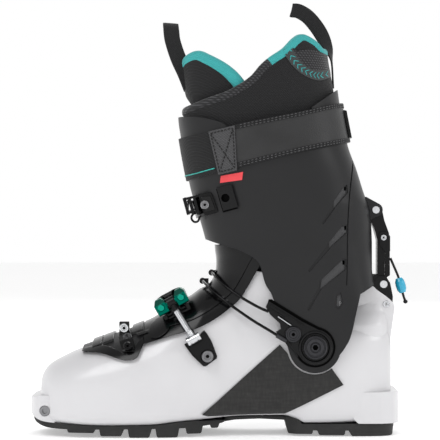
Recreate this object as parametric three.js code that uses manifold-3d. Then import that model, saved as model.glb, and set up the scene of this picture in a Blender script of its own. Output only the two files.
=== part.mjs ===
// An alpine touring boot for the right foot, made of separate pieces, in millimetres.
// X runs from the toe (-) to the heel (+), Y from the inner side of the foot (-) to the outer side (+), Z up.
// The origin is on the ground under the middle of the sole.

import * as THREE from "three";
import Module from "manifold-3d";

const wasm = await Module();
wasm.setup();

// ---- Driving dimensions ----
const GAP = 0.3; // clearance between pieces that touch
const TOE_X = -149.2;
const HEEL_X = 149.2;
const PIVOT = { x: 80.4, z: 72.8 }; // ankle pivot of the cuff
const SHELL_WALL = 4;
const CUFF_WALL = 3;
const LINER_WALL = 7;
const LOBE_HALF = 45; // half the width over the cuff's ankle lobes
const ANCHOR_IN = 45.8; // inner face of the parts that lie over the lobes
const LINK_HALF = 8.3; // half the width of the walk-lock link
const BRACKET_HALF = 12.3;
const ARCH_TILT = THREE.MathUtils.degToRad(28.7); // slope of the instep under the forefoot buckle
const RING_POINTS = 28;
const FINE = 0.05; // how far a face may move when faces that hardly differ are joined
const COARSE = 0.12; // the same for the large bodies
const MEDIAL = -1;
const LATERAL = 1;

// ---- Colours and finishes ----
const finish = (color, roughness, metalness = 0) => ({ color, roughness, metalness });
const WHITE = finish(0xebebee, 0.3);
const BLACK = finish(0x2e2e31, 0.5);
const DARK = finish(0x242426, 0.6);
const CARBON = finish(0x32302f, 0.45);
const RUBBER = finish(0x2d2d2d, 0.9);
const STEEL = finish(0xc4c6c8, 0.3, 1);
const GREEN = finish(0x005041, 0.35, 1);
const FOAM = finish(0x1c1c1e, 0.95);
const TEAL = finish(0x40b2a5, 0.9);
const STRAP = finish(0x3a3a3c, 0.75);
const GREY = finish(0x5f5f61, 0.8);
const RED = finish(0xeb3c46, 0.7);
const BEAD = finish(0x2da0be, 0.3);

// ---- Solid helpers ----

// A closed solid from corner positions and triangles, turned to face outwards.
function closed(vertices, triangles) {
  const vertProperties = new Float32Array(vertices.flatMap((v) => [v.x, v.y, v.z]));
  const make = (tris) =>
    new wasm.Manifold(
      new wasm.Mesh({ numProp: 3, vertProperties, triVerts: new Uint32Array(tris.flat()) }),
    );
  const solid = make(triangles);
  return solid.volume() > 0 ? solid : make(triangles.map(([a, b, c]) => [a, c, b]));
}

// The solid of a three.js geometry, with its doubled corners merged.
function solidOf(geometry) {
  const position = geometry.getAttribute("position");
  const order = geometry.index ? Array.from(geometry.index.array) : [...position.array.keys()];
  const seen = new Map();
  const vertices = [];
  const indexOf = (i) => {
    const v = new THREE.Vector3().fromBufferAttribute(position, i);
    const key = v.toArray().map((c) => Math.round(c * 1e4)).join();
    if (!seen.has(key)) {
      seen.set(key, vertices.length);
      vertices.push(v);
    }
    return seen.get(key);
  };
  const triangles = [];
  const count = geometry.index ? order.length : position.count;
  for (let i = 0; i < count; i += 3) {
    const t = [0, 1, 2].map((k) => indexOf(geometry.index ? order[i + k] : i + k));
    if (new Set(t).size === 3) triangles.push(t);
  }
  return closed(vertices, triangles);
}

// A solid through rings of equal point counts, closed by a fan at each end.
function loft(rings) {
  const size = rings[0].length;
  const vertices = rings.flat();
  const triangles = [];
  for (let r = 0; r + 1 < rings.length; r++) {
    for (let i = 0; i < size; i++) {
      const a = r * size + i;
      const b = r * size + ((i + 1) % size);
      triangles.push([a, b, b + size], [a, b + size, a + size]);
    }
  }
  const cap = (start, turned) => {
    const middle = vertices.slice(start, start + size).reduce((m, v) => m.add(v), new THREE.Vector3());
    const centre = vertices.push(middle.divideScalar(size)) - 1;
    for (let i = 0; i < size; i++) {
      const a = start + i;
      const b = start + ((i + 1) % size);
      triangles.push(turned ? [centre, b, a] : [centre, a, b]);
    }
  };
  cap(0, true);
  cap((rings.length - 1) * size, false);
  return closed(vertices, triangles);
}

// A smooth curve through [x, z] points, as many points per span as asked.
function smooth(knots, perSpan = 3) {
  const curve = new THREE.SplineCurve(knots.map(([x, z]) => new THREE.Vector2(x, z)));
  return curve.getPoints((knots.length - 1) * perSpan).map((p) => [p.x, p.y]);
}

// Points of an arc around a centre, angles in degrees.
function arc([x, z], radius, from, to, steps = 10) {
  return Array.from({ length: steps + 1 }, (_, i) => {
    const angle = THREE.MathUtils.degToRad(from + ((to - from) * i) / steps);
    return [x + radius * Math.cos(angle), z + radius * Math.sin(angle)];
  });
}

const shapeOf = (points) => new THREE.Shape(points.map(([a, b]) => new THREE.Vector2(a, b)));

// A side outline in X and Z, given thickness from y0 to y1.
function sideSlab(points, y0, y1) {
  const geometry = new THREE.ExtrudeGeometry(shapeOf(points), { depth: y1 - y0, bevelEnabled: false });
  return solidOf(geometry.rotateX(Math.PI / 2).translate(0, y1, 0));
}

// A plan outline in X and Y, given height from z0 to z1.
function planSlab(points, z0, z1) {
  const geometry = new THREE.ExtrudeGeometry(shapeOf(points), { depth: z1 - z0, bevelEnabled: false });
  return solidOf(geometry.translate(0, 0, z0));
}

function box(x0, x1, y0, y1, z0, z1) {
  const geometry = new THREE.BoxGeometry(x1 - x0, y1 - y0, z1 - z0);
  return solidOf(geometry.translate((x0 + x1) / 2, (y0 + y1) / 2, (z0 + z1) / 2));
}

// A round bar between two points.
function bar(from, to, radius, sides = 16) {
  const a = new THREE.Vector3(...from);
  const b = new THREE.Vector3(...to);
  const along = b.clone().sub(a);
  const geometry = new THREE.CylinderGeometry(radius, radius, along.length(), sides);
  geometry.applyQuaternion(
    new THREE.Quaternion().setFromUnitVectors(new THREE.Vector3(0, 1, 0), along.clone().normalize()),
  );
  const middle = a.add(b).divideScalar(2);
  return solidOf(geometry.translate(middle.x, middle.y, middle.z));
}

// A bar that runs across the boot, from y0 to y1.
const crossBar = (x, z, radius, y0, y1, sides = 16) => bar([x, y0, z], [x, y1, z], radius, sides);

// The same on one side of the boot, with distances measured outwards from the middle.
const sideBar = (side, x, z, radius, from, to, sides) =>
  crossBar(x, z, radius, Math.min(side * from, side * to), Math.max(side * from, side * to), sides);
const sideSheet = (side, points, from, to) =>
  sideSlab(points, Math.min(side * from, side * to), Math.max(side * from, side * to));

// A rectangular or round section carried along a curve.
function sweep(points, section, steps) {
  const path = new THREE.CatmullRomCurve3(points.map((p) => new THREE.Vector3(...p)));
  return solidOf(
    new THREE.ExtrudeGeometry(shapeOf(section), { steps, extrudePath: path, bevelEnabled: false }),
  );
}

// A head with a hexagonal recess, on a shank, for a screw that points along an axis.
function screw(at, outward, { head, headHeight, shank, depth, sides = 20 }) {
  const base = new THREE.Vector3(...at);
  const axis = new THREE.Vector3(...outward).normalize();
  const point = (d) => base.clone().addScaledVector(axis, d).toArray();
  return bar(point(0), point(headHeight), head, sides)
    .add(bar(point(-depth), point(headHeight / 2), shank, 12))
    .subtract(bar(point(headHeight * 0.45), point(headHeight + 1), head * 0.45, 6));
}

// ---- Body surfaces ----

// A value that follows [place, value] keys smoothly and holds its ends.
function follow(keys) {
  return (t) => {
    if (t <= keys[0][0]) return keys[0][1];
    const next = keys.findIndex(([place]) => place > t);
    if (next < 0) return keys[keys.length - 1][1];
    const [t0, v0] = keys[next - 1];
    const [t1, v1] = keys[next];
    return v0 + ((v1 - v0) * (t - t0)) / (t1 - t0);
  };
}

// One quarter-symmetric rounded outline: a superellipse point at an angle.
function superPoint(angle, power) {
  const c = Math.cos(angle);
  const s = Math.sin(angle);
  return [Math.sign(c) * Math.abs(c) ** (2 / power), Math.sign(s) * Math.abs(s) ** (2 / power)];
}

const ringAngles = Array.from({ length: RING_POINTS }, (_, i) => (2 * Math.PI * i) / RING_POINTS);

// The foot part of the shell, by places along X.
const FOOT_X = [-141.6, -139.6, -135, -128, -118, -107, -95, -80, -65, -50, -35, -19, -5, 12, 30, 60];
const HEEL_STATIONS = [90, 105, 120, 132, 140, 143.6];
const FOOT = {
  bottom: follow([[-141.6, 22], [-139.6, 13.6], [-123.6, 10], [-91.6, 8.4], [-51.6, 8.8], [-27.6, 11.2],
    [-11.6, 12.8], [20, 15.6], [56, 16], [66, 12.8], [73, 9.4], [144, 10.4]]),
  top: follow([[-141.6, 46], [-139.6, 50.4], [-134.8, 56], [-123.6, 62.4], [-114, 67.2], [-107.6, 69.6],
    [-99.6, 72.6], [-83.6, 78.3], [-67.6, 83.9], [-51.6, 90.4], [-35.6, 100.5], [-19.6, 109.2],
    [-9.2, 116], [12, 119], [30, 118], [60, 108], [90, 96], [105, 90], [144, 88]]),
  half: follow([[-141.6, 17], [-139.6, 24], [-135, 32], [-128, 39.5], [-118, 45.5], [-107, 49.5], [-95, 52],
    [-80, 53.5], [-65, 54], [-50, 53.5], [-35, 52], [-19, 49.5], [-5, 47], [12, 44], [30, 40.8], [60, 40],
    [90, 39.5], [105, 38], [120, 34.5], [132, 29.5], [140, 23.5], [143.6, 17]]),
  power: follow([[-60, 2.3], [-20, 2.5], [20, 3.2], [45, 5], [144, 5]]),
  widest: 0.42,
  bottomPower: 6,
};

function footRing(x, grow, shift) {
  const low = FOOT.bottom(x) - grow;
  const high = FOOT.top(x) + grow;
  const level = low + (high - low) * FOOT.widest;
  return ringAngles.map((angle) => {
    const [c, s] = superPoint(angle, Math.sin(angle) > 0 ? FOOT.power(x) : FOOT.bottomPower);
    const reach = s > 0 ? high - level : level - low;
    return new THREE.Vector3(x + shift, c * (FOOT.half(x) + grow), level + s * reach);
  });
}

// How far along X a ring moves per millimetre of growth: all of it at the ends, none along the middle.
const stretch = follow([[-141.6, -1], [-100, 0], [105, 0], [143.6, 1]]);

function foot(grow) {
  return loft([...FOOT_X, ...HEEL_STATIONS].map((x) => footRing(x, grow, stretch(x) * grow)));
}

// The ankle part of the shell, by heights.
const ANKLE_Z = [45, 70, 90, 100, 108, 115, 120, 125, 130, 136, 143, 150, 157];
const ANKLE = {
  front: follow([[45, -20], [90, -24], [100, -19], [115, -7], [120, -3], [125, 0.8], [130, 3.4], [133, 4.2],
    [141, 4.6], [150, 3.6], [157, 3]]),
  rear: follow([[45, 112], [90, 112], [100, 106], [115, 103], [157, 102]]),
  half: follow([[45, 39], [100, 39.6], [125, 39.2], [157, 37.5]]),
  power: () => 2.5,
};

// The cuff, by heights.
const CUFF_Z = [48, 75, 95, 108, 120, 133, 146, 160, 173, 188, 203, 220, 236, 250, 262, 290];
const CUFF = {
  front: follow([[48, -5], [130, -5], [150, -5.5], [160, -8], [172.8, -11.6], [190.4, -17.2],
    [202.4, -20.4], [240, -27.5], [258, -30], [290, -31]]),
  rear: follow([[48, 140], [75, 140], [100, 135], [120, 131], [136, 130], [166, 129.2], [186.4, 126.8],
    [193.6, 123.6], [216, 116.4], [236, 109.2], [269, 102.8], [290, 100]]),
  half: follow([[48, LOBE_HALF], [110, LOBE_HALF + 0.2], [130, 45.6], [150, 46.5], [190, 49], [230, 51.5],
    [290, 52]]),
  power: follow([[80, 7], [100, 4.8], [120, 3.7], [140, 3], [160, 2.6], [290, 2.5]]),
};

// The liner collar, by heights: inside the cuff, then free above it.
const COLLAR_Z = [166.5, 180, 195, 212, 230, 248, 262, 275, 288, 300, 312, 325];
const COLLAR = {
  front: follow([[166, -5.6], [190, -13], [202, -16.4], [240, -23.4], [258, -26], [325, -27]]),
  rear: follow([[166, 124.6], [186, 122.4], [193, 119.4], [216, 112.4], [236, 105.2], [262, 99.6],
    [281, 97.6], [302, 93.6], [314, 91.6], [325, 85]]),
  half: follow([[166, 43], [190, 45], [230, 47.4], [262, 47.8], [300, 45], [325, 42]]),
  power: () => 2.5,
};

// The tongue of the liner: inside the collar, then leaning out over its front rim.
const TONGUE_Z = [198, 220, 240, 258, 267, 277, 290, 302, 315];
const LINER_TONGUE = {
  front: follow([[198, -7], [240, -15.4], [258, -18.2], [267, -18.6], [277, -24], [290, -26], [304, -27.6],
    [315, -27.6]]),
  rear: follow([[198, 110], [240, 97], [258, 92], [315, 84]]),
  half: follow([[198, 37.4], [240, 39.4], [315, 37]]),
  power: () => 2.5,
};

function levelRing(body, z, grow) {
  const front = body.front(z) - grow;
  const rear = body.rear(z) + grow;
  return ringAngles.map((angle) => {
    const [c, s] = superPoint(angle, body.power(z));
    return new THREE.Vector3((front + rear) / 2 + (c * (rear - front)) / 2, s * (body.half(z) + grow), z);
  });
}

const kept = new Map();
function once(name, grow, make) {
  const key = name + grow;
  if (!kept.has(key)) kept.set(key, make());
  return kept.get(key);
}

const ankle = (grow) => once("ankle", grow, () => loft(ANKLE_Z.map((z) => levelRing(ANKLE, z, grow))));
const cuffBody = (grow) => once("cuff", grow, () => loft(CUFF_Z.map((z) => levelRing(CUFF, z, grow))));
const collarBody = (grow) =>
  once("collar", grow, () => loft(COLLAR_Z.map((z) => levelRing(COLLAR, z, grow))));
const tongueBody = (grow) =>
  once("tongue", grow, () => loft(TONGUE_Z.map((z) => levelRing(LINER_TONGUE, z, grow))));
const bootBody = (grow) => once("boot", grow, () => foot(grow).add(ankle(grow)));

// A layer over a body between two offsets, kept inside a side outline.
const layer = (body, from, to, points, y0, y1) =>
  body(to).subtract(body(from)).intersect(sideSlab(points, y0, y1));

// The one piece of a solid that holds most of its volume.
function largest(solid) {
  return solid.decompose().sort((a, b) => b.volume() - a.volume())[0];
}

// ---- The boot as an assembly ----

const boot = new THREE.Group();

function add(name, solid, look, tolerance = FINE) {
  const { vertProperties, triVerts } = solid.simplify(tolerance).getMesh();
  const geometry = new THREE.BufferGeometry();
  geometry.setAttribute("position", new THREE.BufferAttribute(vertProperties, 3));
  geometry.setIndex(new THREE.BufferAttribute(triVerts, 1));
  const mesh = new THREE.Mesh(geometry, new THREE.MeshStandardMaterial(look));
  mesh.name = name;
  boot.add(mesh);
}

const tag = (side) => (side === MEDIAL ? "medial" : "lateral");
const FAR = 70; // beyond the boot's half width

// ---- Lower shell ----

const LEDGE = { toeHalf: 34.5, heelHalf: 34.5, toeTop: 31, heelTop: 35.6, pinX: -136.8, pinZ: 20.5 };

function toeLedge() {
  const plan = [
    [-112, -LEDGE.toeHalf],
    ...smooth([[-136, -LEDGE.toeHalf], [-144, -31], [TOE_X, -18], [TOE_X, 0], [TOE_X, 18], [-144, 31],
      [-136, LEDGE.toeHalf]]),
    [-112, LEDGE.toeHalf],
  ];
  const side = [[TOE_X, 18], ...smooth([[-144, 14.4], [-136, 11.8], [-112, 9.4]]), [-112, 33], [-141, 33],
    [TOE_X, LEDGE.toeTop]];
  return planSlab(plan, 5, 40).intersect(sideSlab(side, -FAR, FAR));
}

function heelLedge() {
  const plan = [
    [108, -LEDGE.heelHalf],
    ...smooth([[134, -LEDGE.heelHalf], [144, -30], [HEEL_X, -20]]),
    ...smooth([[HEEL_X, 20], [144, 30], [134, LEDGE.heelHalf]]),
    [108, LEDGE.heelHalf],
  ];
  return planSlab(plan, 10.2, LEDGE.heelTop);
}

function heelTower() {
  const flanks = [[96, 70], [100, 100], [112, 106], [118, 116], [127, 121], [133, 117], [143, 109.5],
    [146.2, 104], [145.6, 96], [142, 70]];
  const pocket = box(117, 160, -BRACKET_HALF - GAP, BRACKET_HALF + GAP, 107, 140);
  const slot = box(122, 160, -LINK_HALF - 0.6, LINK_HALF + 0.6, 98, 140);
  return sideSlab(flanks, -19, 19).subtract(pocket).subtract(slot);
}

function lowerShell() {
  const ankleRim = [[-60, 190], [-60, 150], [0, 137], [30, 134], [70, 127], [96, 112], [112, 108], [112, 190]];
  const throat = box(-100, 40, -13, 13, 60, 180);
  const cavity = bootBody(-SHELL_WALL);
  const pins = crossBar(LEDGE.pinX, LEDGE.pinZ, 4.3, -FAR, FAR);
  const pivots = crossBar(PIVOT.x, PIVOT.z, 5.3, -FAR, FAR);
  const heelPocket = box(145, 155, -12, 12, 12, 34);
  return largest(
    bootBody(0)
      .add(toeLedge())
      .add(heelLedge())
      .subtract(sideSlab(ankleRim, -FAR, FAR))
      .add(heelTower())
      .subtract(cavity)
      .subtract(throat)
      .subtract(pins)
      .subtract(pivots)
      .subtract(heelPocket),
  );
}
add("lower_shell", lowerShell(), WHITE, COARSE);

// ---- Sole ----

const SOLE_PLAN = {
  front: [[16, -26], ...smooth([[-6, -34], [-35, -42], [-70, -44], [-105, -42], [-130, -34], [-144, -22],
    [-148.5, 0], [-144, 22], [-130, 34], [-105, 42], [-70, 44], [-35, 42], [-6, 34]]), [16, 26]],
  heel: [[52, -26], ...smooth([[66, -31], [100, -33], [130, -32], [143, -24], [147, 0], [143, 24],
    [130, 32], [100, 33], [66, 31]]), [52, 26]],
};

// A row of lugs under a rubber base: each lug is [front X, rear X, lowest Z].
const lugs = (rows) => rows.map(([x0, x1, low]) => box(x0, x1, -FAR, FAR, low, 12));

function soleFront() {
  const toe = [[-150, 17.6], ...smooth([[-146, 12], [-136, 7.6], [-121, 6.4]]), [16, 8.6], [16, 15.2],
    [-140, 17.6]];
  const rows = [[-119.6, -94.4, 3.6], [-92.6, -71.2, 1.2], [-69.4, -50.2, 0], [-48.4, -27.8, 0],
    [-26, -6.2, 2.4]];
  const groove = box(-122, 0, -4, 4, -2, 6.2);
  return largest(
    lugs(rows)
      .reduce((sum, lug) => sum.add(lug), sideSlab(toe, -FAR, FAR))
      .intersect(planSlab(SOLE_PLAN.front, -5, 30))
      .subtract(groove)
      .subtract(bootBody(0.6))
      .subtract(toeLedge().add(box(-152, -112, -36, 36, 17.7, 30)))
      .subtract(box(-118, 16, -36, 36, 12.6, 30)),
  );
}

function soleHeel() {
  const base = [[58, 8], [73, 4.5], [147.5, 4.5], [147.5, 9.9], [58, 15.5]];
  const rows = [[58, 78, 1.6], [82.8, 107, 0.8], [108.8, 146.4, 0]];
  return largest(
    lugs(rows)
      .reduce((sum, lug) => sum.add(lug), sideSlab(base, -FAR, FAR))
      .intersect(planSlab(SOLE_PLAN.heel, -5, 30))
      .subtract(box(70, 150, -FAR, FAR, 9.9, 30))
      .subtract(bootBody(GAP)),
  );
}
add("sole_front", soleFront(), RUBBER);
add("sole_heel", soleHeel(), RUBBER);

function archPlate() {
  const band = [...smooth([[16.5, 12.4], [36, 13.2], [57.5, 12.2]]), [57.5, 15], ...smooth([[57.5, 15], [36, 15.4],
    [16.5, 14.8]])];
  return sideSlab(band, -24, 24).subtract(bootBody(GAP));
}
add("arch_plate", archPlate(), RUBBER);

// ---- Side stiffener panels ----

function sidePanel(side) {
  const outline = [[-10, 18.4], [52.4, 74.4], ...arc([PIVOT.x, PIVOT.z], 22.4, 194, 308, 12), [103.6, 42],
    [56.4, 18.6], ...smooth([[56.4, 18.6], [30, 18], [-5.2, 17]])];
  const panel = layer(bootBody, GAP, 1.4, outline, ...(side === MEDIAL ? [-FAR, -20] : [20, FAR]));
  return largest(panel);
}
for (const side of [MEDIAL, LATERAL]) add("side_panel_" + tag(side), sidePanel(side), CARBON);

// ---- Binding inserts ----

function toeInsert() {
  const socket = (y) => bar([LEDGE.pinX, y, LEDGE.pinZ], [LEDGE.pinX, y * 0.93, LEDGE.pinZ], 2.4, 12);
  return crossBar(LEDGE.pinX, LEDGE.pinZ, 4, -34.3, 34.3, 20).subtract(socket(-34.4)).subtract(socket(34.4));
}
add("toe_insert", toeInsert(), STEEL);

function heelInsert() {
  const plate = box(145.3, 148.9, -11.7, 11.7, 12.3, 33.7);
  const slots = [-6, 6].map((y) => box(147.3, 150, y - 1.6, y + 1.6, 15, 31));
  return slots.reduce((rest, slot) => rest.subtract(slot), plate);
}
add("heel_insert", heelInsert(), STEEL);

// ---- Gaiter and tongue over the instep ----

const GAITER_TO = 2.3;
const TONGUE_TO = 3.3;
const TONGUE_TOP = 154; // under the lower edges of the cuff and its liner at every angle of the cuff
const OVER_TONGUE = TONGUE_TO + GAP;

function gaiter() {
  const lower = smooth([[-107.6, 68.2], [-97.2, 68.3], [-86, 67.2], [-77.2, 64.4], [-69.2, 62.7], [-63.6, 63.8],
    [-60.4, 67.2], [-57.2, 74.4]]);
  return largest(layer(bootBody, GAP, GAITER_TO, [...lower, [-57.2, 100], [-107.6, 100]], -FAR, FAR));
}
add("forefoot_gaiter", gaiter(), DARK);

function tongue() {
  const lower = smooth([[-56.8, 75], [-47.8, 77.8], [-36.6, 81.3], [-23.1, 85.2], [-11.9, 88.6], [1.5, 95.8],
    [12.8, 104.2], [20.4, 111], [26.8, 121.6], [33, 133.6], [34.8, TONGUE_TOP]]);
  return largest(layer(bootBody, GAP, TONGUE_TO, [...lower, [-30, TONGUE_TOP], [-56.8, 120]], -FAR, FAR));
}
add("tongue", tongue(), BLACK, COARSE);

// ---- Front catch ----

function frontCatch() {
  const plate = layer(bootBody, GAITER_TO + GAP, GAITER_TO + 3, [[-77.6, 80], [-68.6, 86], [-64.5, 76],
    [-64.5, 69.5], [-73.5, 69.5]], -FAR, -16);
  const post = box(-77.2, -69.2, -27, -18, 78, 92).subtract(bootBody(GAITER_TO + GAP));
  return largest(plate.add(post));
}
add("front_catch", frontCatch(), BLACK);

const catchScrews = [
  ["catch_screw_upper", [-73.2, -27.8, 87], 3.6],
  ["catch_screw_lower", [-69.2, -50.2, 73.8], 3.4],
];
for (const [name, at, head] of catchScrews) {
  add(name, screw(at, [0, -1, 0], { head, headHeight: 1.6, shank: 1.5, depth: 0.1 }), STEEL);
}

// ---- Pivot bolts ----

const BOLT = { shank: 5, head: 10, inner: 36.2, seat: 50.1, top: 53 };

function pivotBolt(side) {
  return sideBar(side, PIVOT.x, PIVOT.z, BOLT.shank, BOLT.inner, BOLT.seat + 0.5, 20)
    .add(sideBar(side, PIVOT.x, PIVOT.z, BOLT.head, BOLT.seat, BOLT.top, 28))
    .subtract(sideBar(side, PIVOT.x, PIVOT.z, 3.6, BOLT.top - 2, BOLT.top + 1, 6));
}
for (const side of [MEDIAL, LATERAL]) add("pivot_bolt_" + tag(side), pivotBolt(side), BLACK);

// ---- Instep cable anchors, over the lobes ----

const DISC = { x: 62.8, z: 83.2 };
const ANCHOR_OUT = 49.8;

function anchorArm(side) {
  const ring = sideBar(side, PIVOT.x, PIVOT.z, 13.6, ANCHOR_IN, ANCHOR_OUT, 32);
  const arm = [[38.8, 105.2], [43, 110.4], [70, 92.6], [88, 84], [72, 63], [55.6, 78.4], [57, 88.6]];
  return ring
    .add(sideSheet(side, arm, ANCHOR_IN, ANCHOR_OUT - 0.8))
    .subtract(sideBar(side, PIVOT.x, PIVOT.z, BOLT.shank + GAP, 40, 60, 20));
}
for (const side of [MEDIAL, LATERAL]) add("anchor_" + tag(side), anchorArm(side), BLACK);

add("anchor_disc", sideBar(MEDIAL, DISC.x, DISC.z, 6.5, ANCHOR_OUT + GAP - 0.8, ANCHOR_OUT + 2.4, 24)
  .subtract(sideBar(MEDIAL, DISC.x, DISC.z, 2.6, ANCHOR_OUT + 1.2, 56, 6)), DARK);

// ---- Instep cable and its guides ----

const CABLE_R = 1;
const LEVER_HOOK = { x: 49, y: 52, z: 93 };

function instepCable() {
  const lower = (side) => [[53.4, side * 51, 80.4], [44, side * 50, 86.2], [30, side * 48, 94.6],
    [14, side * 44.6, 105.6], [2, side * 38, 114.4], [-5, side * 27, 120.4], [-8.8, side * 14, 123.6]];
  const upper = (side) => [[43, side * 50.8, 101.4], [34, side * 49.4, 105.4], [22, side * 46, 112.2],
    [11, side * 40, 119.6], [3.4, side * 31, 126], [-0.8, side * 18, 130]];
  const points = [
    ...lower(MEDIAL),
    [-10, 0, 124.6],
    ...lower(LATERAL).slice(1).reverse(),
    [50.6, LEVER_HOOK.y - 1.6, 85.4],
    [54, LEVER_HOOK.y - 0.8, 90],
    [50.6, LEVER_HOOK.y - 1.6, 96.6],
    ...upper(LATERAL),
    [-2.6, 0, 131.4],
    ...upper(MEDIAL).reverse(),
  ];
  return sweep(points, arc([0, 0], CABLE_R, 0, 315, 7), 80);
}
const cable = instepCable();
add("instep_cable", cable, DARK);

function cableGuide(x, z) {
  const hole = bar([x, -8, z], [x, 8, z], CABLE_R + 1, 12);
  return box(x - 3.4, x + 6, -4, 4, z - 3, z + 3).subtract(hole).subtract(bootBody(OVER_TONGUE));
}
add("cable_guide_upper", largest(cableGuide(-2.6, 131.2)), BLACK);
add("cable_guide_lower", largest(cableGuide(-10, 124.4)), BLACK);

// ---- Forefoot buckle ----

// A point in the buckle's own frame: u along the instep, y across, w out of the instep.
const BUCKLE_AT = { x: -34.2, z: 107.4 };
function onInstep(u, y, w) {
  const c = Math.cos(ARCH_TILT);
  const s = Math.sin(ARCH_TILT);
  return [BUCKLE_AT.x + u * c - w * s, y, BUCKLE_AT.z + u * s + w * c];
}

// An outline in y and w, thick from u0 to u1, set on the instep.
function instepSlab(points, u0, u1) {
  const geometry = new THREE.ExtrudeGeometry(shapeOf(points), { depth: u1 - u0, bevelEnabled: false });
  geometry.translate(0, 0, u0);
  const c = Math.cos(ARCH_TILT);
  const s = Math.sin(ARCH_TILT);
  const frame = new THREE.Matrix4().makeBasis(
    new THREE.Vector3(0, 1, 0),
    new THREE.Vector3(-s, 0, c),
    new THREE.Vector3(c, 0, s),
  );
  geometry.applyMatrix4(frame);
  return solidOf(geometry.translate(BUCKLE_AT.x, 0, BUCKLE_AT.z));
}

const ROD_HINGE = { x: -16.4, y: -53.6, z: 79.6 };
const LEVER_PIN = { u: 0, y: -41, w: 1 };
const ROD_HEAD = onInstep(LEVER_PIN.u, LEVER_PIN.y, LEVER_PIN.w);

function forefootBracket() {
  const outline = [[-24, 76.4], [-14, 73], [-7.6, 85.6], [2, 68.8], [-7.6, 57.6], [-16, 62]];
  return largest(layer(bootBody, GAP, 3.4, outline, -FAR, -20));
}
add("forefoot_bracket", forefootBracket(), BLACK);
add("forefoot_bracket_screw", screw([-5.6, -53.6, 66.4], [0, -1, 0.2],
  { head: 4.4, headHeight: 2, shank: 2, depth: 0.1 }), STEEL);

function forefootRod() {
  const from = [ROD_HINGE.x, ROD_HINGE.y, ROD_HINGE.z];
  const u = [Math.cos(ARCH_TILT) * 5.6, 0, Math.sin(ARCH_TILT) * 5.6];
  const barrel = bar(from.map((c, i) => c - u[i]), from.map((c, i) => c + u[i]), 3.6, 16);
  const head = bar(onInstep(-3, LEVER_PIN.y, LEVER_PIN.w), onInstep(3, LEVER_PIN.y, LEVER_PIN.w), 4.4, 20)
    .subtract(bar(onInstep(-6, LEVER_PIN.y, LEVER_PIN.w), onInstep(6, LEVER_PIN.y, LEVER_PIN.w), 2.3, 16));
  const rod = bar(from, [0, 1, 2].map((i) => from[i] + (ROD_HEAD[i] - from[i]) * 0.91), 2.5, 12);
  return barrel.add(rod).add(head);
}
add("forefoot_rod", forefootRod(), STEEL);

function forefootLever() {
  const cheek = [[-46.4, -3], [-46.6, 4], [-40, 8], [-28, 8.4], [-18, 7.4], [-14, 3.2], [-22, 0.8],
    [-34, -2.6], [-40, -5]];
  const handle = [[-20, 0.6], [-12, 1.8], [0, 2.4], [12, 1.4], [24, -2.2], [36, -8], [37.4, -5.6], [25, 1.4],
    [12, 5.6], [0, 7], [-12, 7], [-20, 5.8]];
  const pin = bar(onInstep(-12, LEVER_PIN.y, LEVER_PIN.w), onInstep(12, LEVER_PIN.y, LEVER_PIN.w), 2, 12);
  return instepSlab(cheek, -13.6, -4)
    .add(instepSlab(cheek, 4, 13.6))
    .add(instepSlab(handle, -11, 11))
    .add(pin);
}
add("forefoot_lever", forefootLever(), GREEN);

function forefootRack() {
  const outline = [onInstep(-10, 0, -20), onInstep(10, 0, -20), onInstep(10, 0, 5), onInstep(-10, 0, 5)]
    .map(([x, , z]) => [x, z]);
  return largest(layer(bootBody, OVER_TONGUE, OVER_TONGUE + 1.4, outline, -34, 6));
}
add("forefoot_rack", forefootRack(), DARK);

// ---- Cuff ----

const SLIT_Y = 24;

const CUFF_SIDE = [
  [-60, 262], [-30, 258.4], ...smooth([[-30, 258.4], [-11.6, 256.8], [6, 252], [12, 246]]), [40, 248], [78, 258],
  [78, 264.8], [100.4, 280.8], [130, 281], [130, 200], [140, 160], [140, 121.6], [129.2, 121.6], [117.2, 114.8],
  ...smooth([[117.2, 114.8], [114, 101.6], [109.2, 81.6], [104.4, 72], [99.6, 65.6]]),
  ...arc([PIVOT.x, PIVOT.z], 20, -20, -163, 14),
  [48.4, 108], [45.2, 116], ...smooth([[45.2, 116], [40.4, 124], [34.8, 140.8], [21, 149.6], [8, 153.5],
    [-6.8, 158.4]]), [-60, 160],
];

// The four slanted windows of each side, as [lower front, lower rear, upper rear, upper front] corners.
const WINDOWS = [
  [[95.6, 184], [104.4, 194.4], [105.2, 200.8], [98, 191.2]],
  [[91.6, 151.2], [103.6, 163.2], [104.4, 171.2], [93.2, 158.4]],
  [[86.8, 120], [102, 132.8], [102.8, 140.8], [89.2, 128]],
  [[98, 103.2], [101.2, 105.6], [101.2, 114.4], [98.8, 112]],
];

const LINK = { top: { x: 131.9, z: 182.7 }, lever: { x: 138.4, z: 160 }, pin: { x: 138.2, z: 121.9 } };
const BETWEEN_PINS = 6; // half width of what passes between the latch pins

function linkLug() {
  const outline = [[118, 193], [124, 193.4], ...arc([LINK.top.x, LINK.top.z], 5.6, 60, -90, 8), [124, 172],
    [118, 172]];
  return sideSlab(outline, -12.4, 12.4).subtract(cuffBody(-CUFF_WALL));
}

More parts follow.
